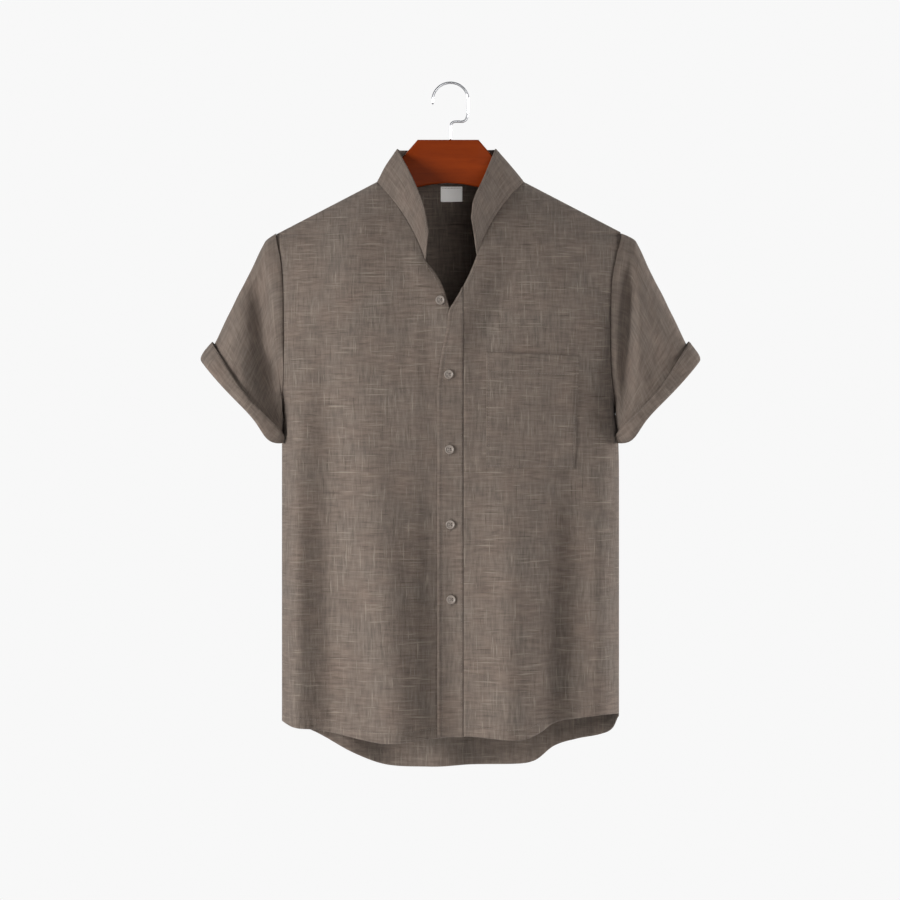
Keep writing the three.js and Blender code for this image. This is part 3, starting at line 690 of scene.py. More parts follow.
def grid_area(points):
    """Area of the cloth in square metres, from its grid."""
    du = np.diff(points, axis=1)[:-1]
    dv = np.diff(points, axis=0)[:, :-1]
    return float(np.linalg.norm(np.cross(du, dv), axis=-1).sum()) * MM * MM


def tube(points, radius, sides):
    """Vertices and faces of a capped tube along a line of points."""
    points = np.asarray(points, float)
    ahead = np.gradient(points, axis=0)
    ahead /= np.linalg.norm(ahead, axis=-1, keepdims=True)
    side = np.cross(ahead, (0.0, 1.0, 0.0))
    short = np.linalg.norm(side, axis=-1) < 1e-3
    side[short] = (1.0, 0.0, 0.0)
    side /= np.linalg.norm(side, axis=-1, keepdims=True)
    up = np.cross(side, ahead)
    angle = np.linspace(0, 2 * math.pi, sides, endpoint=False)
    radius = np.broadcast_to(radius, len(points))
    ring = np.cos(angle)[None, :, None] * side[:, None] + np.sin(angle)[None, :, None] * up[:, None]
    vertices = (points[:, None] + ring * radius[:, None, None]).reshape(-1, 3)
    return vertices, ring_faces(len(points), sides)


# Materials

def feed(tree, socket, value):
    """Joins a socket to another one, or sets its plain value."""
    if isinstance(value, bpy.types.NodeSocket):
        tree.links.new(value, socket)
    else:
        socket.default_value = value


def node_tools(tree):
    """Short helpers to place and join nodes in a tree."""
    def place(kind, **inputs):
        node = tree.nodes.new(kind)
        for name, value in inputs.items():
            feed(tree, node.inputs[name.replace("_", " ")], value)
        return node

    def maths(operation, a, b=0.0, c=0.0, limit=False):
        node = tree.nodes.new("ShaderNodeMath")
        node.operation = operation
        node.use_clamp = limit
        for socket, value in zip(node.inputs, (a, b, c)):
            feed(tree, socket, value)
        return node.outputs[0]

    def blend_colour(amount, a, b, how="MIX"):
        node = tree.nodes.new("ShaderNodeMix")
        node.data_type = "RGBA"
        node.blend_type = how
        for socket, value in zip((node.inputs[0], node.inputs[6], node.inputs[7]), (amount, a, b)):
            feed(tree, socket, value)
        return node.outputs[2]

    return place, maths, blend_colour


def place_group(tree, group, **inputs):
    """Places a node group with its own values."""
    node = tree.nodes.new("ShaderNodeGroup")
    node.node_tree = group
    for name, value in inputs.items():
        feed(tree, node.inputs[name.replace("_", " ")], value)
    return node


def new_group(name, inputs, outputs):
    group = bpy.data.node_groups.new(name, "ShaderNodeTree")
    for label, kind, value in inputs:
        socket = group.interface.new_socket(name=label, in_out="INPUT", socket_type=kind)
        if value is not None:
            socket.default_value = value
    for label, kind in outputs:
        group.interface.new_socket(name=label, in_out="OUTPUT", socket_type=kind)
    return group, group.nodes.new("NodeGroupInput"), group.nodes.new("NodeGroupOutput")


def streak_group():
    """Long thin marks along one thread direction: a mask from 0 to 1."""
    group, start, end = new_group(
        "thread streaks",
        [("Vector", "NodeSocketVector", None), ("Across", "NodeSocketFloat", 700.0),
         ("Along", "NodeSocketFloat", 30.0), ("Low", "NodeSocketFloat", 0.4),
         ("High", "NodeSocketFloat", 0.7), ("Shift", "NodeSocketFloat", 0.0)],
        [("Mask", "NodeSocketFloat")],
    )
    place, maths, _ = node_tools(group)
    parts = place("ShaderNodeSeparateXYZ", Vector=start.outputs["Vector"])
    x = maths("MULTIPLY", parts.outputs["X"], start.outputs["Across"])
    y = maths("MULTIPLY", parts.outputs["Y"], start.outputs["Along"])
    drawn_out = place("ShaderNodeCombineXYZ", X=x, Y=y, Z=start.outputs["Shift"])
    noise = place("ShaderNodeTexNoise", Vector=drawn_out.outputs[0], Scale=1.0, Detail=2.0, Roughness=0.55)
    spread = place("ShaderNodeMapRange", Value=noise.outputs[0], From_Min=start.outputs["Low"],
                   From_Max=start.outputs["High"])
    spread.interpolation_type = "SMOOTHSTEP"
    group.links.new(spread.outputs[0], end.inputs["Mask"])
    return group


def slub_group(streaks):
    """Linen-like cloth: mottled warp and weft, pale and dark slubs, and the height of the threads."""
    group, start, end = new_group(
        "slubbed cloth",
        [("Vector", "NodeSocketVector", None), ("Ground", "NodeSocketColor", (0.15, 0.12, 0.1, 1)),
         ("Second ground", "NodeSocketColor", (0.15, 0.12, 0.1, 1)),
         ("Pale", "NodeSocketColor", (0.3, 0.26, 0.22, 1)),
         ("Dark", "NodeSocketColor", (0.06, 0.045, 0.035, 1)),
         ("Slubs", "NodeSocketFloat", 1.0)],
        [("Color", "NodeSocketColor"), ("Height", "NodeSocketFloat")],
    )
    place, maths, blend_colour = node_tools(group)
    warp_way = start.outputs["Vector"]
    parts = place("ShaderNodeSeparateXYZ", Vector=warp_way)
    turned = place("ShaderNodeCombineXYZ", X=parts.outputs["Y"], Y=parts.outputs["X"], Z=0.0).outputs[0]

    def marks(way, across, along, low, high, shift):
        return place_group(group, streaks, Vector=way, Across=across, Along=along, Low=low, High=high,
                           Shift=shift).outputs["Mask"]

    patches = place("ShaderNodeTexNoise", Vector=warp_way, Scale=21.0, Detail=3.0, Roughness=0.6).outputs[0]
    warp_share = maths("MULTIPLY_ADD", patches, 3.2, -1.1, limit=True)
    weft_share = maths("SUBTRACT", 1.0, warp_share)

    def centred(mask, share):
        return maths("MULTIPLY", maths("SUBTRACT", mask, 0.5), share)

    warp = marks(warp_way, 330.0, 48.0, 0.32, 0.68, 1.3)
    weft = marks(turned, 310.0, 42.0, 0.32, 0.68, 7.9)
    fine_warp = marks(warp_way, 1000.0, 110.0, 0.25, 0.75, 3.1)
    fine_weft = marks(turned, 960.0, 100.0, 0.25, 0.75, 5.7)
    mottle = maths("ADD", centred(warp, maths("MULTIPLY_ADD", warp_share, 0.30, 0.06)),
                   centred(weft, maths("MULTIPLY_ADD", weft_share, 0.30, 0.06)))
    fine = maths("MULTIPLY_ADD", fine_warp, 0.5, maths("MULTIPLY", fine_weft, 0.5))
    mottle = maths("ADD", mottle, centred(fine, 0.14))
    clouds = place("ShaderNodeTexNoise", Vector=warp_way, Scale=11.0, Detail=4.0, Roughness=0.6).outputs[0]
    tone = maths("ADD", maths("MULTIPLY_ADD", clouds, 0.24, 0.88), mottle)
    ground = blend_colour(maths("MULTIPLY_ADD", patches, 1.6, -0.3, limit=True),
                          start.outputs["Ground"], start.outputs["Second ground"])
    colour = blend_colour(1.0, ground, tone, "MULTIPLY")

    pale_weft = marks(turned, 430.0, 21.0, 0.585, 0.72, 11.0)
    pale_warp = marks(warp_way, 450.0, 27.0, 0.595, 0.73, 17.0)
    dark_weft = marks(turned, 400.0, 21.0, 0.585, 0.74, 23.0)
    dark_warp = marks(warp_way, 420.0, 29.0, 0.595, 0.75, 29.0)
    pale = maths("MULTIPLY", maths("MAXIMUM", pale_weft, pale_warp), start.outputs["Slubs"])
    dark = maths("MULTIPLY", maths("MAXIMUM", dark_weft, dark_warp), start.outputs["Slubs"])
    colour = blend_colour(maths("MULTIPLY", dark, 0.65), colour, start.outputs["Dark"])
    colour = blend_colour(maths("MULTIPLY", pale, 0.62), colour, start.outputs["Pale"])

    thread = place("ShaderNodeTexNoise", Vector=warp_way, Scale=1500.0, Detail=1.0).outputs[0]
    warp_wave = maths("SINE", maths("MULTIPLY", parts.outputs["X"], 8400.0))
    weft_wave = maths("SINE", maths("MULTIPLY", parts.outputs["Y"], 8400.0))
    weave = maths("MULTIPLY", maths("MULTIPLY", warp_wave, weft_wave), 0.5)
    height = maths("ADD", maths("MULTIPLY_ADD", thread, 0.6, weave), maths("MULTIPLY", mottle, 2.5))
    height = maths("MULTIPLY_ADD", pale, 0.9, height)
    group.links.new(colour, end.inputs["Color"])
    group.links.new(height, end.inputs["Height"])
    return group


def new_material(name):
    """A material, its node tree, and a helper that sets or joins its shader's sockets by name."""
    material = bpy.data.materials.new(name)
    material.use_nodes = True
    tree = material.node_tree
    shader = tree.nodes["Principled BSDF"]

    def finish(**values):
        for socket, value in values.items():
            feed(tree, shader.inputs[socket.replace("_", " ")], value)

    return material, tree, finish


def cloth_material(name, slubs):
    material, tree, finish = new_material(name)
    place, _, _ = node_tools(tree)
    uv = place("ShaderNodeUVMap")
    uv.uv_map = "UVMap"
    weave = place_group(tree, SLUB, Vector=uv.outputs[0], Ground=CLOTH_GROUND, Second_ground=CLOTH_SECOND,
                        Pale=CLOTH_PALE, Dark=CLOTH_DARK, Slubs=slubs)
    bump = place("ShaderNodeBump", Strength=0.55, Distance=0.0004, Height=weave.outputs["Height"])
    finish(Base_Color=weave.outputs["Color"], Normal=bump.outputs[0], Roughness=0.93, Specular_IOR_Level=0.2,
           Sheen_Weight=0.05, Sheen_Roughness=0.6)
    return material


def thread_material():
    material, tree, finish = new_material("sewing_thread")
    place, _, blend_colour = node_tools(tree)
    where = place("ShaderNodeTexCoord").outputs["Object"]
    fuzz = place("ShaderNodeTexNoise", Vector=where, Scale=900.0, Detail=2.0).outputs[0]
    finish(Base_Color=blend_colour(fuzz, (0.14, 0.11, 0.09, 1), (0.30, 0.25, 0.215, 1)), Roughness=0.7)
    return material


def button_material():
    material, tree, finish = new_material("taupe_button")
    place, maths, blend_colour = node_tools(tree)
    where = place("ShaderNodeTexCoord").outputs["Object"]
    cloud = place("ShaderNodeTexNoise", Vector=where, Scale=260.0, Detail=4.0, Distortion=1.2).outputs[0]
    finish(Base_Color=blend_colour(cloud, (0.20, 0.165, 0.14, 1), (0.34, 0.29, 0.25, 1)),
           Roughness=maths("MULTIPLY_ADD", cloud, 0.2, 0.25))
    return material


def label_material():
    material, tree, finish = new_material("woven_label_with_painted_glow")
    place, maths, blend_colour = node_tools(tree)
    uv = place("ShaderNodeUVMap")
    uv.uv_map = "UVMap"
    parts = place("ShaderNodeSeparateXYZ", Vector=uv.outputs[0])
    rib = maths("SINE", maths("MULTIPLY", parts.outputs["Y"], 9000.0))
    grain = place("ShaderNodeTexNoise", Vector=uv.outputs[0], Scale=900.0, Detail=2.0).outputs[0]
    bump = place("ShaderNodeBump", Strength=0.4, Distance=0.0002, Height=maths("ADD", rib, grain))
    # The faint emission is painted light: the label glows a little to stand out of the shade inside the neck,
    # though it is no lamp.
    finish(Base_Color=blend_colour(grain, (0.78, 0.77, 0.75, 1), (0.93, 0.92, 0.90, 1)),
           Normal=bump.outputs[0], Roughness=0.6, Emission_Color=(1.0, 0.97, 0.93, 1), Emission_Strength=0.16)
    return material


def wood_material():
    """Red-brown lacquered beech: long grain along the hanger, a little pore, and a clear coat."""
    material, tree, finish = new_material("lacquered_hanger_wood")
    place, maths, blend_colour = node_tools(tree)
    where = place("ShaderNodeTexCoord").outputs["Object"]
    stretched = place("ShaderNodeMapping", Vector=where, Scale=(5.0, 40.0, 60.0)).outputs[0]
    grain = place("ShaderNodeTexNoise", Vector=stretched, Scale=1.6, Detail=6.0, Distortion=0.8).outputs[0]
    pores_way = place("ShaderNodeMapping", Vector=where, Scale=(60.0, 500.0, 700.0)).outputs[0]
    pores = place("ShaderNodeTexNoise", Vector=pores_way, Scale=1.0, Detail=2.0).outputs[0]
    colour = blend_colour(maths("MULTIPLY_ADD", grain, 1.8, -0.4, limit=True),
                          (0.28, 0.040, 0.003, 1), (0.20, 0.026, 0.002, 1))
    in_pore = maths("MULTIPLY_ADD", pores, 1.4, -0.75, limit=True)
    colour = blend_colour(in_pore, colour, (0.15, 0.015, 0.002, 1))
    bump = place("ShaderNodeBump", Strength=0.12, Distance=0.0003, Height=pores)
    finish(Base_Color=colour, Normal=bump.outputs[0], Roughness=0.45, Specular_IOR_Level=0.06,
           Coat_Weight=0.03, Coat_Roughness=0.3)
    return material


def wire_material():
    material, tree, finish = new_material("plated_wire")
    place, maths, _ = node_tools(tree)
    where = place("ShaderNodeTexCoord").outputs["Object"]
    worn = place("ShaderNodeTexNoise", Vector=where, Scale=180.0, Detail=3.0).outputs[0]
    finish(Base_Color=(0.62, 0.62, 0.64, 1), Metallic=1.0, Roughness=maths("MULTIPLY_ADD", worn, 0.16, 0.14))
    return material


STREAKS = streak_group()
SLUB = slub_group(STREAKS)
CLOTH_FINISH = cloth_material("slubbed_cloth", 1.0)
QUIET_FINISH = cloth_material("slubbed_cloth_quiet", 0.5)
THREAD_FINISH = thread_material()
BUTTON_FINISH = button_material()
LABEL_FINISH = label_material()
WOOD_FINISH = wood_material()
WIRE_FINISH = wire_material()


def dress(obj, material, slot, *nodes):
    """Gives a piece its finish and its place in the frame."""
    obj.data.materials.clear()
    obj.data.materials.append(material)
    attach(obj, BODY)
    if nodes:
        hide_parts(*nodes)
    return obj


# Body panels

def rest_of_rows(j):
    return ((j - TOP_ROWS) / (PANEL_ROWS - TOP_ROWS)) ** 1.1


def side_line(side, hem, start):
    """Side edge of a panel: down the shoulder seam, then the armhole and side seams."""
    j = np.arange(PANEL_ROWS + 1)
    shoulder_end = float(edge_x(side, ARMHOLE_TOP))
    shoulder_x = mix(NECK_HALF + start, shoulder_end, np.minimum(1, j / TOP_ROWS))
    low_z = float(hem_z(side * SIDE_HALF, hem))
    z = mix(float(shoulder_z(shoulder_end)), low_z, rest_of_rows(np.maximum(j, TOP_ROWS)))
    on_shoulder = j <= TOP_ROWS
    x = np.where(on_shoulder, shoulder_x, edge_x(side, z))
    return np.stack([side * x, np.where(on_shoulder, shoulder_z(shoulder_x), z)], axis=-1)


def panel_grid(top, low, first, last, u):
    """Rows between two side edges, bent to the top and low edges."""
    v = np.linspace(0, 1, PANEL_ROWS + 1)[:, None, None]
    u3 = u[None, :, None]
    plain = mix(first[:, None], last[:, None], u3)
    bend_top = top[None] - mix(first[:1, None], last[:1, None], u3)
    bend_low = low[None] - mix(first[-1:, None], last[-1:, None], u3)
    return plain + (1 - v) ** 12 * bend_top + v ** 3 * bend_low


def hem_thickness(points, hem):
    """The double-turned hem is thicker over its depth."""
    up = points[..., 2] - hem_z(points[..., 0], hem)
    return mix(HEM_THICK, CLOTH, ease((up - HEM_DEPTH) / 1.5))


def stay_in_body(side):
    def keep(inner):
        inner[..., 1] = side * np.maximum(side * inner[..., 1], SHOULDER_GAP)
        limit = edge_x(inner[..., 0], inner[..., 2])
        inner[..., 0] = np.sign(inner[..., 0]) * np.minimum(np.abs(inner[..., 0]), limit)
        return inner
    return keep


def hem_groove(points, hem, toward):
    """Presses the hem's stitch line in a little, and lets the cloth pucker between the stitches."""
    x = points[..., 0]
    up = points[..., 2] - hem_z(x, hem)
    line = bell(up, HEM_DEPTH - HEM_STITCH, 1.6)
    pucker = np.sin(x * 0.78 + 2.0 * np.sin(x * 0.11)) * bell(up, 0, 22.0)
    points[..., 1] += toward * (0.55 * line - 0.3 * pucker)
    return points


def front_panel(name, side, edge, surface, columns=96):
    corner_z = NECK_Z - CORNER
    edge_low = float(hem_z(edge(FRONT_HEM_Z), "front"))
    j = np.arange(PANEL_ROWS + 1)
    below = mix(SHOULDER_SHARE, 1, rest_of_rows(np.maximum(j, TOP_ROWS)))
    down = np.where(j <= TOP_ROWS, SHOULDER_SHARE * j / TOP_ROWS, below)
    inner_z = mix(corner_z, edge_low, down)
    first = np.stack([edge(inner_z), inner_z], axis=-1)
    last = side_line(side, "front", CORNER)
    u = 1 - (1 - np.linspace(0, 1, columns + 1)) ** 1.5
    top_z = mix(corner_z, NECK_Z, np.minimum(1, 2 * u))
    shoulder_x = side * (NECK_HALF + CORNER * np.maximum(0, 2 * u - 1))
    top_x = np.where(u < 0.5, edge(top_z), shoulder_x)
    top = np.stack([top_x, np.where(u < 0.5, top_z, shoulder_z(top_x))], axis=-1)
    low_x = mix(edge(FRONT_HEM_Z), side * SIDE_HALF, u)
    low = np.stack([low_x, hem_z(low_x, "front")], axis=-1)
    flat = panel_grid(top, low, first, last, u)
    x, z = flat[..., 0], flat[..., 1]
    points = hem_groove(points_of(x, surface(x, z), z), "front", 1)
    return shell(name, points, hem_thickness(points, "front"), TO_FRONT,
                 hung_uv(x, z, FRONT_DEPTH, CUT_AT["fronts"]), keep=stay_in_body(-1))


def back_panel(name, columns=176):
    even = np.linspace(0, 1, columns + 1)
    u = mix(even, 0.5 - 0.5 * np.cos(math.pi * even), 0.7)
    first, last = side_line(-1, "back", 0), side_line(1, "back", 0)
    top_x = mix(-NECK_HALF, NECK_HALF, u)
    top = np.stack([top_x, back_neck_z(top_x)], axis=-1)
    low_x = mix(-SIDE_HALF, SIDE_HALF, u)
    low = np.stack([low_x, hem_z(low_x, "back")], axis=-1)
    flat = panel_grid(top, low, first, last, u)
    x, z = flat[..., 0], flat[..., 1]
    points = hem_groove(points_of(x, back_y(x, z), z), "back", -1)
    return shell(name, points, hem_thickness(points, "back"), TO_BACK,
                 hung_uv(x, z, BACK_DEPTH, CUT_AT["back"]), keep=stay_in_body(1))


def placket_strip(name):
    rows, columns = 260, 32
    low_z = float(hem_z(0.0, "front"))
    z = mix(PLACKET_TOP, low_z, np.linspace(0, 1, rows + 1) ** 1.15)[:, None]
    u = np.linspace(0, 1, columns + 1)[None]
    x = mix(over_edge(z), PLACKET_SEAM_X - SEAM_GAP, u)
    from_edge, from_seam = x - over_edge(z), PLACKET_SEAM_X - x
    groove = 0.35 * bell(from_edge, PLACKET_EDGE_STITCH, 1.0) + 1.3 * bell(from_seam, 0, 1.3)
    ridge = 0.35 * bell(from_seam, 3.4, 1.8) + 0.3 * bell(from_edge, 1.8, 1.6)
    pucker = 0.16 * np.sin(z * 0.62 + 1.7 * np.sin(z * 0.05)) * (1 + np.abs(u - 0.5))
    points, _ = lifted(front_y, x, z, PLACKET_PROUD - groove + ridge + pucker)
    return shell(name, points, FOLDED, TO_FRONT, even_uv(points, CUT_AT["placket"]))


# Sleeves and cuffs

def sleeve_points(side, folds, angle, along, offset=0.0):
    """Sleeve surface: angle 0 is its top, a quarter turn is its front."""
    ring = {name: column(SLEEVE_RINGS, "along", along, name) for name in SLEEVE_RINGS if name != "along"}
    c, s = np.cos(angle), np.sin(angle)
    leaving = ease(along / ARMHOLE_RUN)
    low_x = edge_x(side, ring["lowZ"]) - UNDERARM_PRESS * leaving
    half_x = (ring["topX"] - low_x) / 2
    half_z = (ring["topZ"] - ring["lowZ"]) / 2
    depth = np.where(s > 0, ring["front"], ring["back"])
    z = (ring["topZ"] + ring["lowZ"]) / 2 + half_z * c
    straight = (ring["topX"] + low_x) / 2 + half_x * c
    x = side * mix(edge_x(side, z) + SEAM_GAP, straight, leaving)
    front_fold = fold_height(folds, x, z) * np.minimum(1, 1.6 * np.maximum(s, 0))
    back_fold = 0.7 * fold_height(folds, x + side * 9.0, z + 14.0) * np.minimum(1, 1.6 * np.maximum(-s, 0))
    lean = UNDERARM_LEAN * ((1 - c) / 2) ** 4 * leaving
    y = -s * depth + (back_fold - front_fold) * ease(along / FOLD_RUN) - lean
    swell = (1.2 * drift(angle * 40.0, along * 60.0, 24, 31 if side > 0 else 37)
             + 0.5 * drift(angle * 40.0, along * 90.0, 9, 41)) * ease(along / 0.15) * ease((1 - along) / 0.1)
    dip = SEAM_DIP * bell(along, 0, 0.03) * (0.15 + 0.85 * s * s)
    radial = points_of(side * half_x * c, -s * depth, half_z * c)
    radial /= np.maximum(np.linalg.norm(radial, axis=-1, keepdims=True), 1e-9)
    return points_of(x, y, z) + radial * (np.asarray(offset) + swell - dip)[..., None]


def beside_body(side, points, clear):
    """Keeps a sleeve's points outside the side of the body."""
    y, z = points[..., 1], points[..., 2]
    edge = edge_x(side, z)
    body = edge * chest_round(np.abs(y) / np.where(y < 0, FRONT_DEPTH, BACK_DEPTH))
    limit = mix(edge, body, ease((ARMHOLE_LOW + 3 - z) / 5)) + clear
    points[..., 0] = side * np.maximum(side * points[..., 0], limit)
    return points


def around(columns):
    """Angles once round a sleeve, from its underarm seam."""
    return np.linspace(math.pi, 3 * math.pi, columns, endpoint=False)


def ring_outward(points):
    return points - points.mean(axis=1, keepdims=True)


def sleeve(name, side, folds):
    columns, rows = 150, 110
    angle = around(columns)[None]
    along = np.linspace(0, SLEEVE_END, rows + 1)[:, None]
    points = beside_body(side, sleeve_points(side, folds, angle + 0 * along, along + 0 * angle), SEAM_GAP)
    return shell(name, points, CLOTH, ring_outward(points), even_uv(points, CUT_AT["sleeves"] + 900.0 * side),
                 ring=True, keep=lambda inner: beside_body(side, inner, SEAM_GAP))


def cuff_points(side, folds, angle, step):
    """Rolled cuff: step 0 is its free edge on the outside, 1 its end inside the sleeve."""
    turn = angle % (2 * math.pi)
    share = column(CUFF_SHARES, "angle", np.degrees(turn), "share")
    along = 1 - share * column(CUFF_SECTION, "step", step, "up")
    free = np.clip(1 - step / 0.75, 0, 1) ** 2
    stand_off = 2.6 * bell(turn, 2.2, 0.45) + 0.8 * bell(turn, 0.9, 0.4)
    wave = 0.6 * np.sin(angle * 7.0 + side) + 0.4 * np.sin(angle * 17.0)
    lift = column(CUFF_SECTION, "step", step, "offset") + (stand_off + wave) * free
    points = sleeve_points(side, folds, angle, along, lift)
    fullness = np.sin(angle) ** 2 + CUFF_LOW_BULGE * bell(turn, CUFF_LOW_TURN, 0.45)
    bulge = CUFF_BULGE * fullness * bell(step, CUFF_FOLD_STEP, 0.28)
    points += points_of(side * CUFF_BULGE_OUT * bulge, 0, -CUFF_BULGE_DOWN * bulge)
    return beside_body(side, points, CUFF_CLEAR)


def cuff(name, side, folds):
    columns, rows = 170, 54
    angle = around(columns)[None] + np.zeros((rows + 1, 1))
    step = np.linspace(0, 1, rows + 1)[:, None] + 0 * angle
    points = cuff_points(side, folds, angle, step)
    outward = ring_outward(points) * np.where(step < CUFF_INSIDE_STEP, 1.0, -1.0)[..., None]
    return shell(name, points, CLOTH, outward, even_uv(points, CUT_AT["cuffs"] + 1500.0 * side), ring=True)


# Collar

def collar_base(side, along):
    end = UNDER_SEAM_END if side < 0 else OVER_SEAM_END
    z_front = mix(end, NECK_Z, np.minimum(1, along / NECK_POINT))
    x_front = under_edge(z_front) if side < 0 else over_edge(z_front)
    y_front = under_front_y(x_front, z_front) if side < 0 else front_y(x_front, z_front)
    angle = (math.pi / 2) * np.clip((along - NECK_POINT) / (1 - NECK_POINT), 0, 1)
    x_back = side * NECK_HALF * np.cos(angle)
    z_back = back_neck_z(x_back)
    front = along < NECK_POINT
    return points_of(np.where(front, x_front, x_back), np.where(front, y_front, back_y(x_back, z_back)),
                     np.where(front, z_front, z_back))


def collar_points(columns, rows):
    """Band from its right front end round the back to the left one, in rows from the seam up."""
    along = np.linspace(0, 1, columns // 2 + 1)
    sides = []
    for side, way in ((-1, "right"), (1, "left")):
        x, y, z = (column(COLLAR_TOP, "along", along, name) for name in (way + "X", "y", way + "Z"))
        sides.append((collar_base(side, along), points_of(x, y, z)))
    base = np.concatenate([sides[0][0], sides[1][0][-2::-1]])
    top = np.concatenate([sides[0][1], sides[1][1][-2::-1]])
    v = np.linspace(0, 1, rows + 1)[:, None, None]
    rise = top - base
    start = COLLAR_GAP / np.linalg.norm(rise, axis=-1, keepdims=True)
    points = base + rise * mix(start, 1, v)
    out = points_of(base[:, 0], base[:, 1] * 1.4, 0 * base[:, 0])
    out /= np.maximum(np.linalg.norm(out, axis=-1, keepdims=True), 1e-9)
    run = np.linspace(0, 1, columns + 1)[None]
    belly = np.sin(math.pi * v[..., 0]) * (1.6 + 1.2 * drift(run * 500.0, 0 * run, 60, 51))
    ripple = 0.7 * drift(run * 500.0, v[..., 0] * 40.0, 18, 53) * np.sin(math.pi * v[..., 0])
    return points + out[None] * (belly + ripple)[..., None]


def collar_band(name):
    """The collar, and its outer points for the stitches."""
    points = collar_points(220, 30)
    outward = points_of(points[..., 0], points[..., 1], 0)
    return shell(name, points, FOLDED, outward, even_uv(points, CUT_AT["collar"])), points


# Pocket and label

def pocket_places(u, v):
    (x0, z0), (x1, z1), (x2, z2), (x3, z3) = POCKET_CORNERS
    x = mix(mix(x0, x1, u), mix(x3, x2, u), v)
    z = mix(mix(z0, z1, u), mix(z3, z2, u), v)
    return x, z


def inside_pocket(u, v):
    """Distance in from the pocket's sewn edges."""
    return np.minimum(np.minimum(u, 1 - u) * POCKET_WIDTH, (1 - v) * POCKET_HEIGHT)


def pocket_lift(u, v):
    """Stand of the pocket off the front: low at its sewn edges, a little open at its top."""
    mouth = (1 - ease(v / 0.14)) * np.sin(math.pi * u) ** 0.6
    return 1.4 + 0.7 * ease(inside_pocket(u, v) / 6.0) + 1.2 * mouth


def pocket_patch(name):
    u, v = unit_grid(70, 70)
    x, z = pocket_places(u, v)
    inside = inside_pocket(u, v)
    pressed = 0.5 * bell(v * POCKET_HEIGHT, POCKET_HEM, 1.5) + 0.45 * bell(inside, POCKET_STITCH, 1.2)
    lift = pocket_lift(u, v) - pressed + 0.7 * drift(x, z, 26, 61) * ease(inside / 10.0)
    points = points_of(x, front_y(x, z) - lift, z)
    return shell(name, points, CLOTH, TO_FRONT, even_uv(points, CUT_AT["pocket"]))


def neck_label(name):
    left, right, top, low = LABEL_BOX
    u, v = unit_grid(24, 16)
    curl = 1.2 * v ** 3 + 0.5 * np.sin(u * 5.0) * v
    points, _ = lifted(back_y, mix(left, right, u), mix(top, low, v), -CLOTH - 0.9 - curl)
    return shell(name, points, LABEL_TAPE, TO_FRONT, even_uv(points, 0.0))


# Buttons

def button_mesh(name, seat, facing):
    """Four-hole button with a raised rim and a dished middle, sewn on with crossed threads."""
    profile = ((BUTTON_RADIUS - 1.1, 0.0), (BUTTON_RADIUS - 0.35, 0.25), (BUTTON_RADIUS, 0.95),
               (BUTTON_RADIUS - 0.1, 1.7), (BUTTON_RADIUS - 0.45, 2.15), (BUTTON_RADIUS - 0.95, BUTTON_THICK),
               (BUTTON_RADIUS - 1.45, 2.15), (BUTTON_RADIUS - 1.85, 1.65), (BUTTON_RADIUS - 2.4, 1.4))
    sides = 40
    shape = bmesh.new()
    rings = [[shape.verts.new((*place, height)) for place in circle(radius, sides)]
             for radius, height in profile]
    for lower, upper in zip(rings, rings[1:]):
        for k in range(sides):
            shape.faces.new((lower[k], lower[(k + 1) % sides], upper[(k + 1) % sides], upper[k]))
    hole_sides = 14
    for level, outer in ((profile[-1][1], rings[-1]), (0.0, rings[0])):
        edges = [shape.edges.get((outer[k], outer[(k + 1) % sides])) for k in range(sides)]
        holes = []
        for hx, hy in ((1, 1), (-1, 1), (-1, -1), (1, -1)):
            hole = circle(HOLE_RADIUS, hole_sides, HOLE_PLACE * hx, HOLE_PLACE * hy)
            loop = [shape.verts.new((*place, level)) for place in hole]
            edges += [shape.edges.new((loop[k], loop[(k + 1) % hole_sides])) for k in range(hole_sides)]
            holes.append(loop)
        bmesh.ops.triangle_fill(shape, edges=edges, use_beauty=True)
        if level > 0:
            upper_holes = holes
        else:
            for top_loop, low_loop in zip(upper_holes, holes):
                for k in range(hole_sides):
                    n = (k + 1) % hole_sides
                    shape.faces.new((top_loop[k], top_loop[n], low_loop[n], low_loop[k]))
    bmesh.ops.recalc_face_normals(shape, faces=shape.faces)
    turn = Vector((0, 0, 1)).rotation_difference(Vector(facing)).to_matrix().to_4x4()
    turn.translation = Vector(seat)
    bmesh.ops.transform(shape, matrix=turn, verts=shape.verts)
    bmesh.ops.scale(shape, vec=(MM, MM, MM), verts=shape.verts)
    mesh = bpy.data.meshes.new(name)
    shape.to_mesh(mesh)
    shape.free()
    mesh.shade_smooth()
    mesh.set_sharp_from_angle(angle=math.radians(50))
    return link_object(name, mesh), turn


def button_threads(turn):
    """Two crossed loops of thread through the holes."""
    parts = []
    for ax, ay in ((1, 1), (1, -1)):
        start = Vector((HOLE_PLACE * ax, HOLE_PLACE * ay, 0.2))
        end = Vector((-HOLE_PLACE * ax, -HOLE_PLACE * ay, 0.2))
        line = []
        for k in range(9):
            t = k / 8
            point = start.lerp(end, t)
            point.z = 0.2 + 1.75 * math.sin(math.pi * t) ** 0.35
            line.append(turn @ point)
        parts.append(tube([tuple(p) for p in line], 0.36, 8))
    return parts


# Stitches

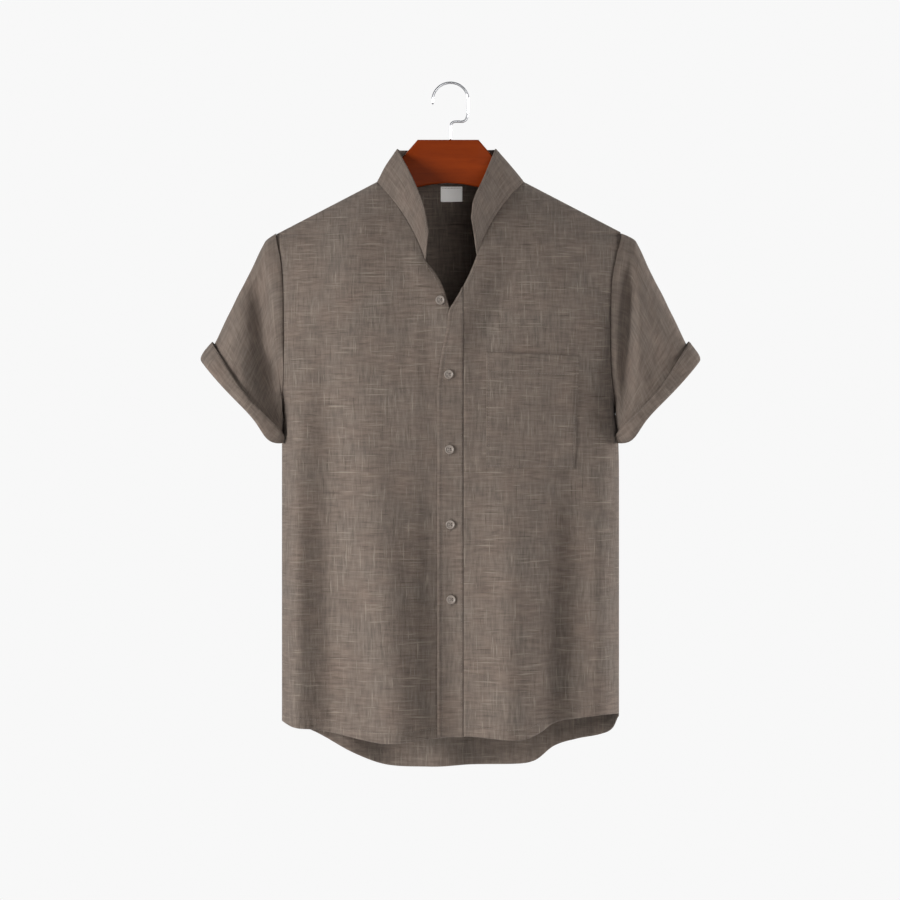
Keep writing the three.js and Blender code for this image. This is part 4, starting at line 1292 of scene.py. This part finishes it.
def stitch_run(line, normals, step=STITCH_STEP, length=STITCH, radius=STITCH_RADIUS, sink=0.1):
    """Stitches along a line of points: a short rounded bar every step, bowed out of the cloth."""
    line, normals = np.asarray(line, float), np.asarray(normals, float)
    along = running_length(line, 0)
    places = np.arange(step, along[-1] - step, step)
    profile = ((-0.5, 0.35), (-0.28, 0.95), (0.0, 1.0), (0.28, 0.95), (0.5, 0.35))
    sides = 5
    bar = ring_faces(len(profile), sides)
    vertices, faces = [], []
    for place in places:
        at = [np.array([np.interp(place + t, along, line[:, k]) for k in range(3)]) for t in (-0.5, 0.0, 0.5)]
        normal = np.array([np.interp(place, along, normals[:, k]) for k in range(3)])
        normal /= np.linalg.norm(normal)
        ahead = at[2] - at[0]
        ahead /= np.linalg.norm(ahead)
        side = np.cross(normal, ahead)
        faces += [tuple(len(vertices) + k for k in face) for face in bar]
        for t, fullness in profile:
            middle = at[1] + ahead * t * length + normal * (radius * 1.3 * (1 - 4 * t * t) - sink)
            for over, up in circle(radius * fullness, sides):
                vertices.append(middle + over * side + up * normal)
    return vertices, faces


def hem_stitches(surface, x, hem):
    return stitch_run(*lifted(surface, x, hem_z(x, hem) + HEM_DEPTH - HEM_STITCH, 0.0))


def placket_stitches():
    proud = PLACKET_PROUD - 0.2
    low_z = float(hem_z(0.0, "front")) + 2
    edge_z = np.linspace(EDGE_STITCH_TOP, low_z, 500)
    seam_z = np.linspace(SEAM_STITCH_TOP, low_z, 500)
    neck_z = np.linspace(OVER_SEAM_END - 4, OVER_NECK_STITCH_END, 80)
    runs = [
        stitch_run(*lifted(front_y, over_edge(edge_z) + PLACKET_EDGE_STITCH, edge_z, proud)),
        stitch_run(*lifted(front_y, PLACKET_SEAM_X - PLACKET_SEAM_STITCH, seam_z, proud)),
        stitch_run(*lifted(front_y, over_edge(neck_z) + OVER_NECK_STITCH, neck_z, 0.2)),
    ]
    for _, x, button_z in BUTTON_SEATS[1:]:
        z = np.linspace(button_z - BUTTONHOLE_HALF, button_z + BUTTONHOLE_HALF, 60)
        for shift in (-1.0, 1.0):
            line, facing = lifted(front_y, x + shift, z, PLACKET_PROUD + 0.12)
            runs.append(stitch_run(line, facing, step=0.9, length=0.85, radius=0.36, sink=0.0))
    return runs


def front_right_stitches():
    neck_z = np.linspace(UNDER_SEAM_END - 3, UNDER_NECK_STITCH_END, 120)
    return [hem_stitches(under_front_y, np.linspace(12.0, 3 - SIDE_HALF, 420), "front"),
            stitch_run(*lifted(under_front_y, under_edge(neck_z) - UNDER_NECK_STITCH, neck_z, 0.2))]


def front_left_stitches():
    return [hem_stitches(front_y, np.linspace(PLACKET_SEAM_X + 1.0, SIDE_HALF - 3, 420), "front")]


def back_stitches():
    return [hem_stitches(back_y, np.linspace(3 - SIDE_HALF, SIDE_HALF - 3, 640), "back")]


def pocket_stitches():
    runs = []
    t = np.linspace(0, 1, 160)
    full = np.ones_like(t)
    side_u = POCKET_STITCH / POCKET_WIDTH
    low_v = 1 - POCKET_STITCH / POCKET_HEIGHT
    lines = (
        (side_u * full, t),
        (mix(side_u, 1 - side_u, t), low_v * full),
        ((1 - side_u) * full, t[::-1]),
        (mix(0.03, 0.97, t), POCKET_HEM / POCKET_HEIGHT * full),
    )
    for u, v in lines:
        x, z = pocket_places(u, v)
        _, facing = lifted(front_y, x, z, 0)
        runs.append(stitch_run(points_of(x, front_y(x, z) - pocket_lift(u, v) + 0.35, z), facing))
    return runs


def collar_stitches(points):
    """Edge stitching round the collar's free edges and above its neck seam, on the outside."""
    normals = grid_normals(points, False)
    if np.sum(normals * points_of(points[..., 0], points[..., 1], 0)) < 0:
        normals = -normals
    last_row, last_column = points.shape[0] - 1, points.shape[1] - 1
    low, high, margin = 2, int(last_row * 0.9), 5
    across = range(margin, last_column - margin)
    round_edge = [(r, margin) for r in range(low, high)] + [(high, c) for c in across]
    round_edge += [(r, last_column - margin) for r in range(high, low, -1)]
    runs = []
    for path in (round_edge, [(low, c) for c in across]):
        rows, columns = np.array(path).T
        runs.append(stitch_run(points[rows, columns], normals[rows, columns]))
    return runs


def cuff_stitches(side, folds):
    """Stitches that hold the roll, near its free edge."""
    angle = np.linspace(0, 2 * math.pi, 260)
    line = cuff_points(side, folds, angle, 0.1 + 0 * angle)
    return [stitch_run(line, line - line.mean(axis=0), sink=-0.05)]


def label_stitches():
    left, right, top, _ = LABEL_BOX
    points, facing = lifted(back_y, np.linspace(left, right, 40), top - 1.5, -CLOTH - 1.35)
    return [stitch_run(points, -facing, step=1.9, length=1.4, radius=0.22)]


# Hanger

def hanger_wood(name):
    per_corner = 7
    key = WOOD_SECTIONS["x"]
    places = np.unique(np.concatenate([key, np.linspace(0, key[-1], 90)]))
    rows = []
    for signed in np.concatenate([-places[:0:-1], places]):
        out = abs(signed)
        top, low, half, corner_round = (float(np.interp(out, key, WOOD_SECTIONS[n]))
                                        for n in ("top", "low", "half", "round"))
        droop = ARM_DROOP * max(0.0, out - ARM_START) / ARM_REACH
        ring = []
        for corner in range(4):
            for k in range(per_corner):
                angle = (math.pi / 2) * (corner + k / (per_corner - 1))
                sign_y = 1 if corner in (0, 3) else -1
                centre_z = top - corner_round if corner < 2 else low + corner_round
                ring.append((WOOD_CENTRE_X + signed,
                             sign_y * (half - corner_round) + corner_round * math.cos(angle),
                             centre_z + corner_round * math.sin(angle) - droop))
        rows.append(ring)
    vertices = [point for ring in rows for point in ring]
    obj = new_object(name, vertices, ring_faces(len(rows), 4 * per_corner))
    mend(obj)
    obj.data.set_sharp_from_angle(angle=math.radians(32))
    return obj


def hanger_hook(name):
    centre_z = HOOK_WIRE - HOOK_RADIUS
    angle = np.radians(np.arange(192, -1, -4))
    line = [(HOOK_RADIUS * math.cos(a), 0.0, centre_z + HOOK_RADIUS * math.sin(a)) for a in angle]
    bends = np.array([line[-1][::2], *HOOK_BENDS, (0, WOOD_TOP + 0.4)])
    for k in range(len(bends) - 1):
        p0, p1 = bends[max(0, k - 1)], bends[k]
        p2, p3 = bends[k + 1], bends[min(len(bends) - 1, k + 2)]
        for t in np.linspace(0, 1, 9)[1:]:
            point = 0.5 * ((2 * p1) + (p2 - p0) * t + (2 * p0 - 5 * p1 + 4 * p2 - p3) * t * t
                           + (3 * p1 - p0 - 3 * p2 + p3) * t ** 3)
            line.append((point[0], 0.0, point[1]))
    radius = np.full(len(line), HOOK_WIRE)
    radius[:3] = (HOOK_WIRE * 0.55, HOOK_WIRE * 0.86, HOOK_WIRE)
    return joined(name, [tube(line, radius, 20)])


# Camera, light and stage

def camera():
    data = bpy.data.cameras.new("view")
    data.lens = 36.0 * CAMERA_DISTANCE / VIEW_WIDTH
    data.clip_end = 40.0
    obj = link_object("view", data)
    obj.location = (CAMERA_AIM[0], -CAMERA_DISTANCE, CAMERA_AIM[2])
    obj.rotation_euler = (math.radians(90), 0, 0)
    bpy.context.scene.camera = obj


def soft_light(name, place, size, power):
    data = bpy.data.lights.new(name, "AREA")
    data.shape = "DISK"
    data.size = size
    data.energy = power
    obj = link_object(name, data)
    obj.location = place
    aim = Vector(LIGHT_AIM) - Vector(place)
    obj.rotation_euler = aim.to_track_quat("-Z", "Y").to_euler()


def studio():
    scene = bpy.context.scene
    scene.view_settings.view_transform = "Standard"
    scene.view_settings.look = "None"
    world = bpy.data.worlds.new("pale studio")
    scene.world = world
    world.use_nodes = True
    tree = world.node_tree
    tree.nodes.clear()
    place, _, _ = node_tools(tree)
    seen = place("ShaderNodeBackground", Color=BACKDROP, Strength=1.0)
    way = place("ShaderNodeSeparateXYZ", Vector=place("ShaderNodeTexCoord").outputs["Generated"])
    behind = place("ShaderNodeMapRange", Value=way.outputs["Y"], From_Min=0.0, From_Max=0.8, To_Min=0.09,
                   To_Max=1.1)
    lit = place("ShaderNodeBackground", Color=(0.96, 0.98, 1.0, 1), Strength=behind.outputs[0])
    path = place("ShaderNodeLightPath")
    both = tree.nodes.new("ShaderNodeMixShader")
    tree.links.new(path.outputs["Is Camera Ray"], both.inputs[0])
    tree.links.new(lit.outputs[0], both.inputs[1])
    tree.links.new(seen.outputs[0], both.inputs[2])
    out = tree.nodes.new("ShaderNodeOutputWorld")
    tree.links.new(both.outputs[0], out.inputs[0])
    for light in LIGHTS:
        soft_light(*light)


def floor():
    """Pale round floor well below the shirt, which fades out at its rim."""
    sides = 96
    rings = np.linspace(0, FLOOR_RADIUS, 14)[1:]
    vertices = [(0.0, 0.0, FLOOR_Z)]
    for radius in rings:
        vertices += [(*place, FLOOR_Z) for place in circle(radius, sides)]
    faces = [(0, 1 + k, 1 + (k + 1) % sides) for k in range(sides)]
    for r in range(len(rings) - 1):
        a, b = 1 + r * sides, 1 + (r + 1) * sides
        faces += [(a + k, b + k, b + (k + 1) % sides, a + (k + 1) % sides) for k in range(sides)]
    mesh = bpy.data.meshes.new("floor")
    mesh.from_pydata(vertices, [], faces)
    material, tree, finish = new_material("pale_floor")
    place, _, _ = node_tools(tree)
    away = place("ShaderNodeVectorMath", Vector=place("ShaderNodeTexCoord").outputs["Object"])
    away.operation = "LENGTH"
    fade = place("ShaderNodeMapRange", Value=away.outputs["Value"], From_Min=1.6, From_Max=2.75, To_Min=1.0,
                 To_Max=0.0)
    fade.interpolation_type = "SMOOTHSTEP"
    finish(Base_Color=(0.9, 0.9, 0.9, 1), Roughness=0.9, Alpha=fade.outputs[0])
    mesh.materials.append(material)
    link_object("floor", mesh)


# The shirt, piece by piece

def sew_cloth():
    """Cuts and hangs the cloth pieces, and gives the collar's outer points."""
    cut = {
        "front_right": front_panel("front_right_cloth", -1, under_edge, under_front_y),
        "front_left": front_panel("front_left_cloth", 1, placket_side, front_y),
        "back": back_panel("back_cloth"),
        "placket": placket_strip("placket_cloth"),
        "pocket": pocket_patch("pocket_cloth"),
    }
    for word, side, folds in SLEEVES:
        cut["sleeve_" + word] = sleeve("sleeve_" + word + "_cloth", side, folds)
        cut["cuff_" + word] = cuff("cuff_" + word + "_cloth", side, folds)
    cut["collar"], band_points = collar_band("collar_cloth")
    for node, (obj, area) in cut.items():
        dress(obj, CLOTH_FINISH if node in SLUBBED_PIECES else QUIET_FINISH, "cloth", node)
    label, label_area = neck_label("neck_label")
    dress(label, LABEL_FINISH, "label_tape", "label")
    return band_points


def sew_buttons():
    """Sets the buttons, and gives their threads."""
    threads = []
    for node, x, z in BUTTON_SEATS:
        on_neck = node == "button_1"
        lift = BUTTON_SINK if on_neck else PLACKET_PROUD + BUTTON_SINK
        seat, facing = lifted(under_front_y if on_neck else front_y, x, z, lift)
        obj, turn = button_mesh(node + "_detail", seat.tolist(), facing.tolist())
        dress(obj, BUTTON_FINISH, "button_plastic", node)
        threads += button_threads(turn)
    return threads


def sew_stitches(band_points, threads):
    stitching = {
        "button_threads": threads,
        "placket_stitches": placket_stitches(),
        "front_left_stitches": front_left_stitches(),
        "front_right_stitches": front_right_stitches(),
        "back_stitches": back_stitches(),
        "pocket_stitches": pocket_stitches(),
        "collar_stitches": collar_stitches(band_points),
    }
    for word, side, folds in SLEEVES:
        stitching["cuff_" + word + "_stitches"] = cuff_stitches(side, folds)
    stitching["label_stitches"] = label_stitches()
    for name, parts in stitching.items():
        dress(joined(name, parts), THREAD_FINISH, "cloth")


def build_hanger():
    dress(hanger_wood("hanger_wood_body"), WOOD_FINISH, "lacquered_wood", "hanger_wood")
    dress(hanger_hook("hanger_wire"), WIRE_FINISH, "steel_wire", "hanger_hook")


camera()
sew_stitches(sew_cloth(), sew_buttons())
build_hanger()
studio()
floor()
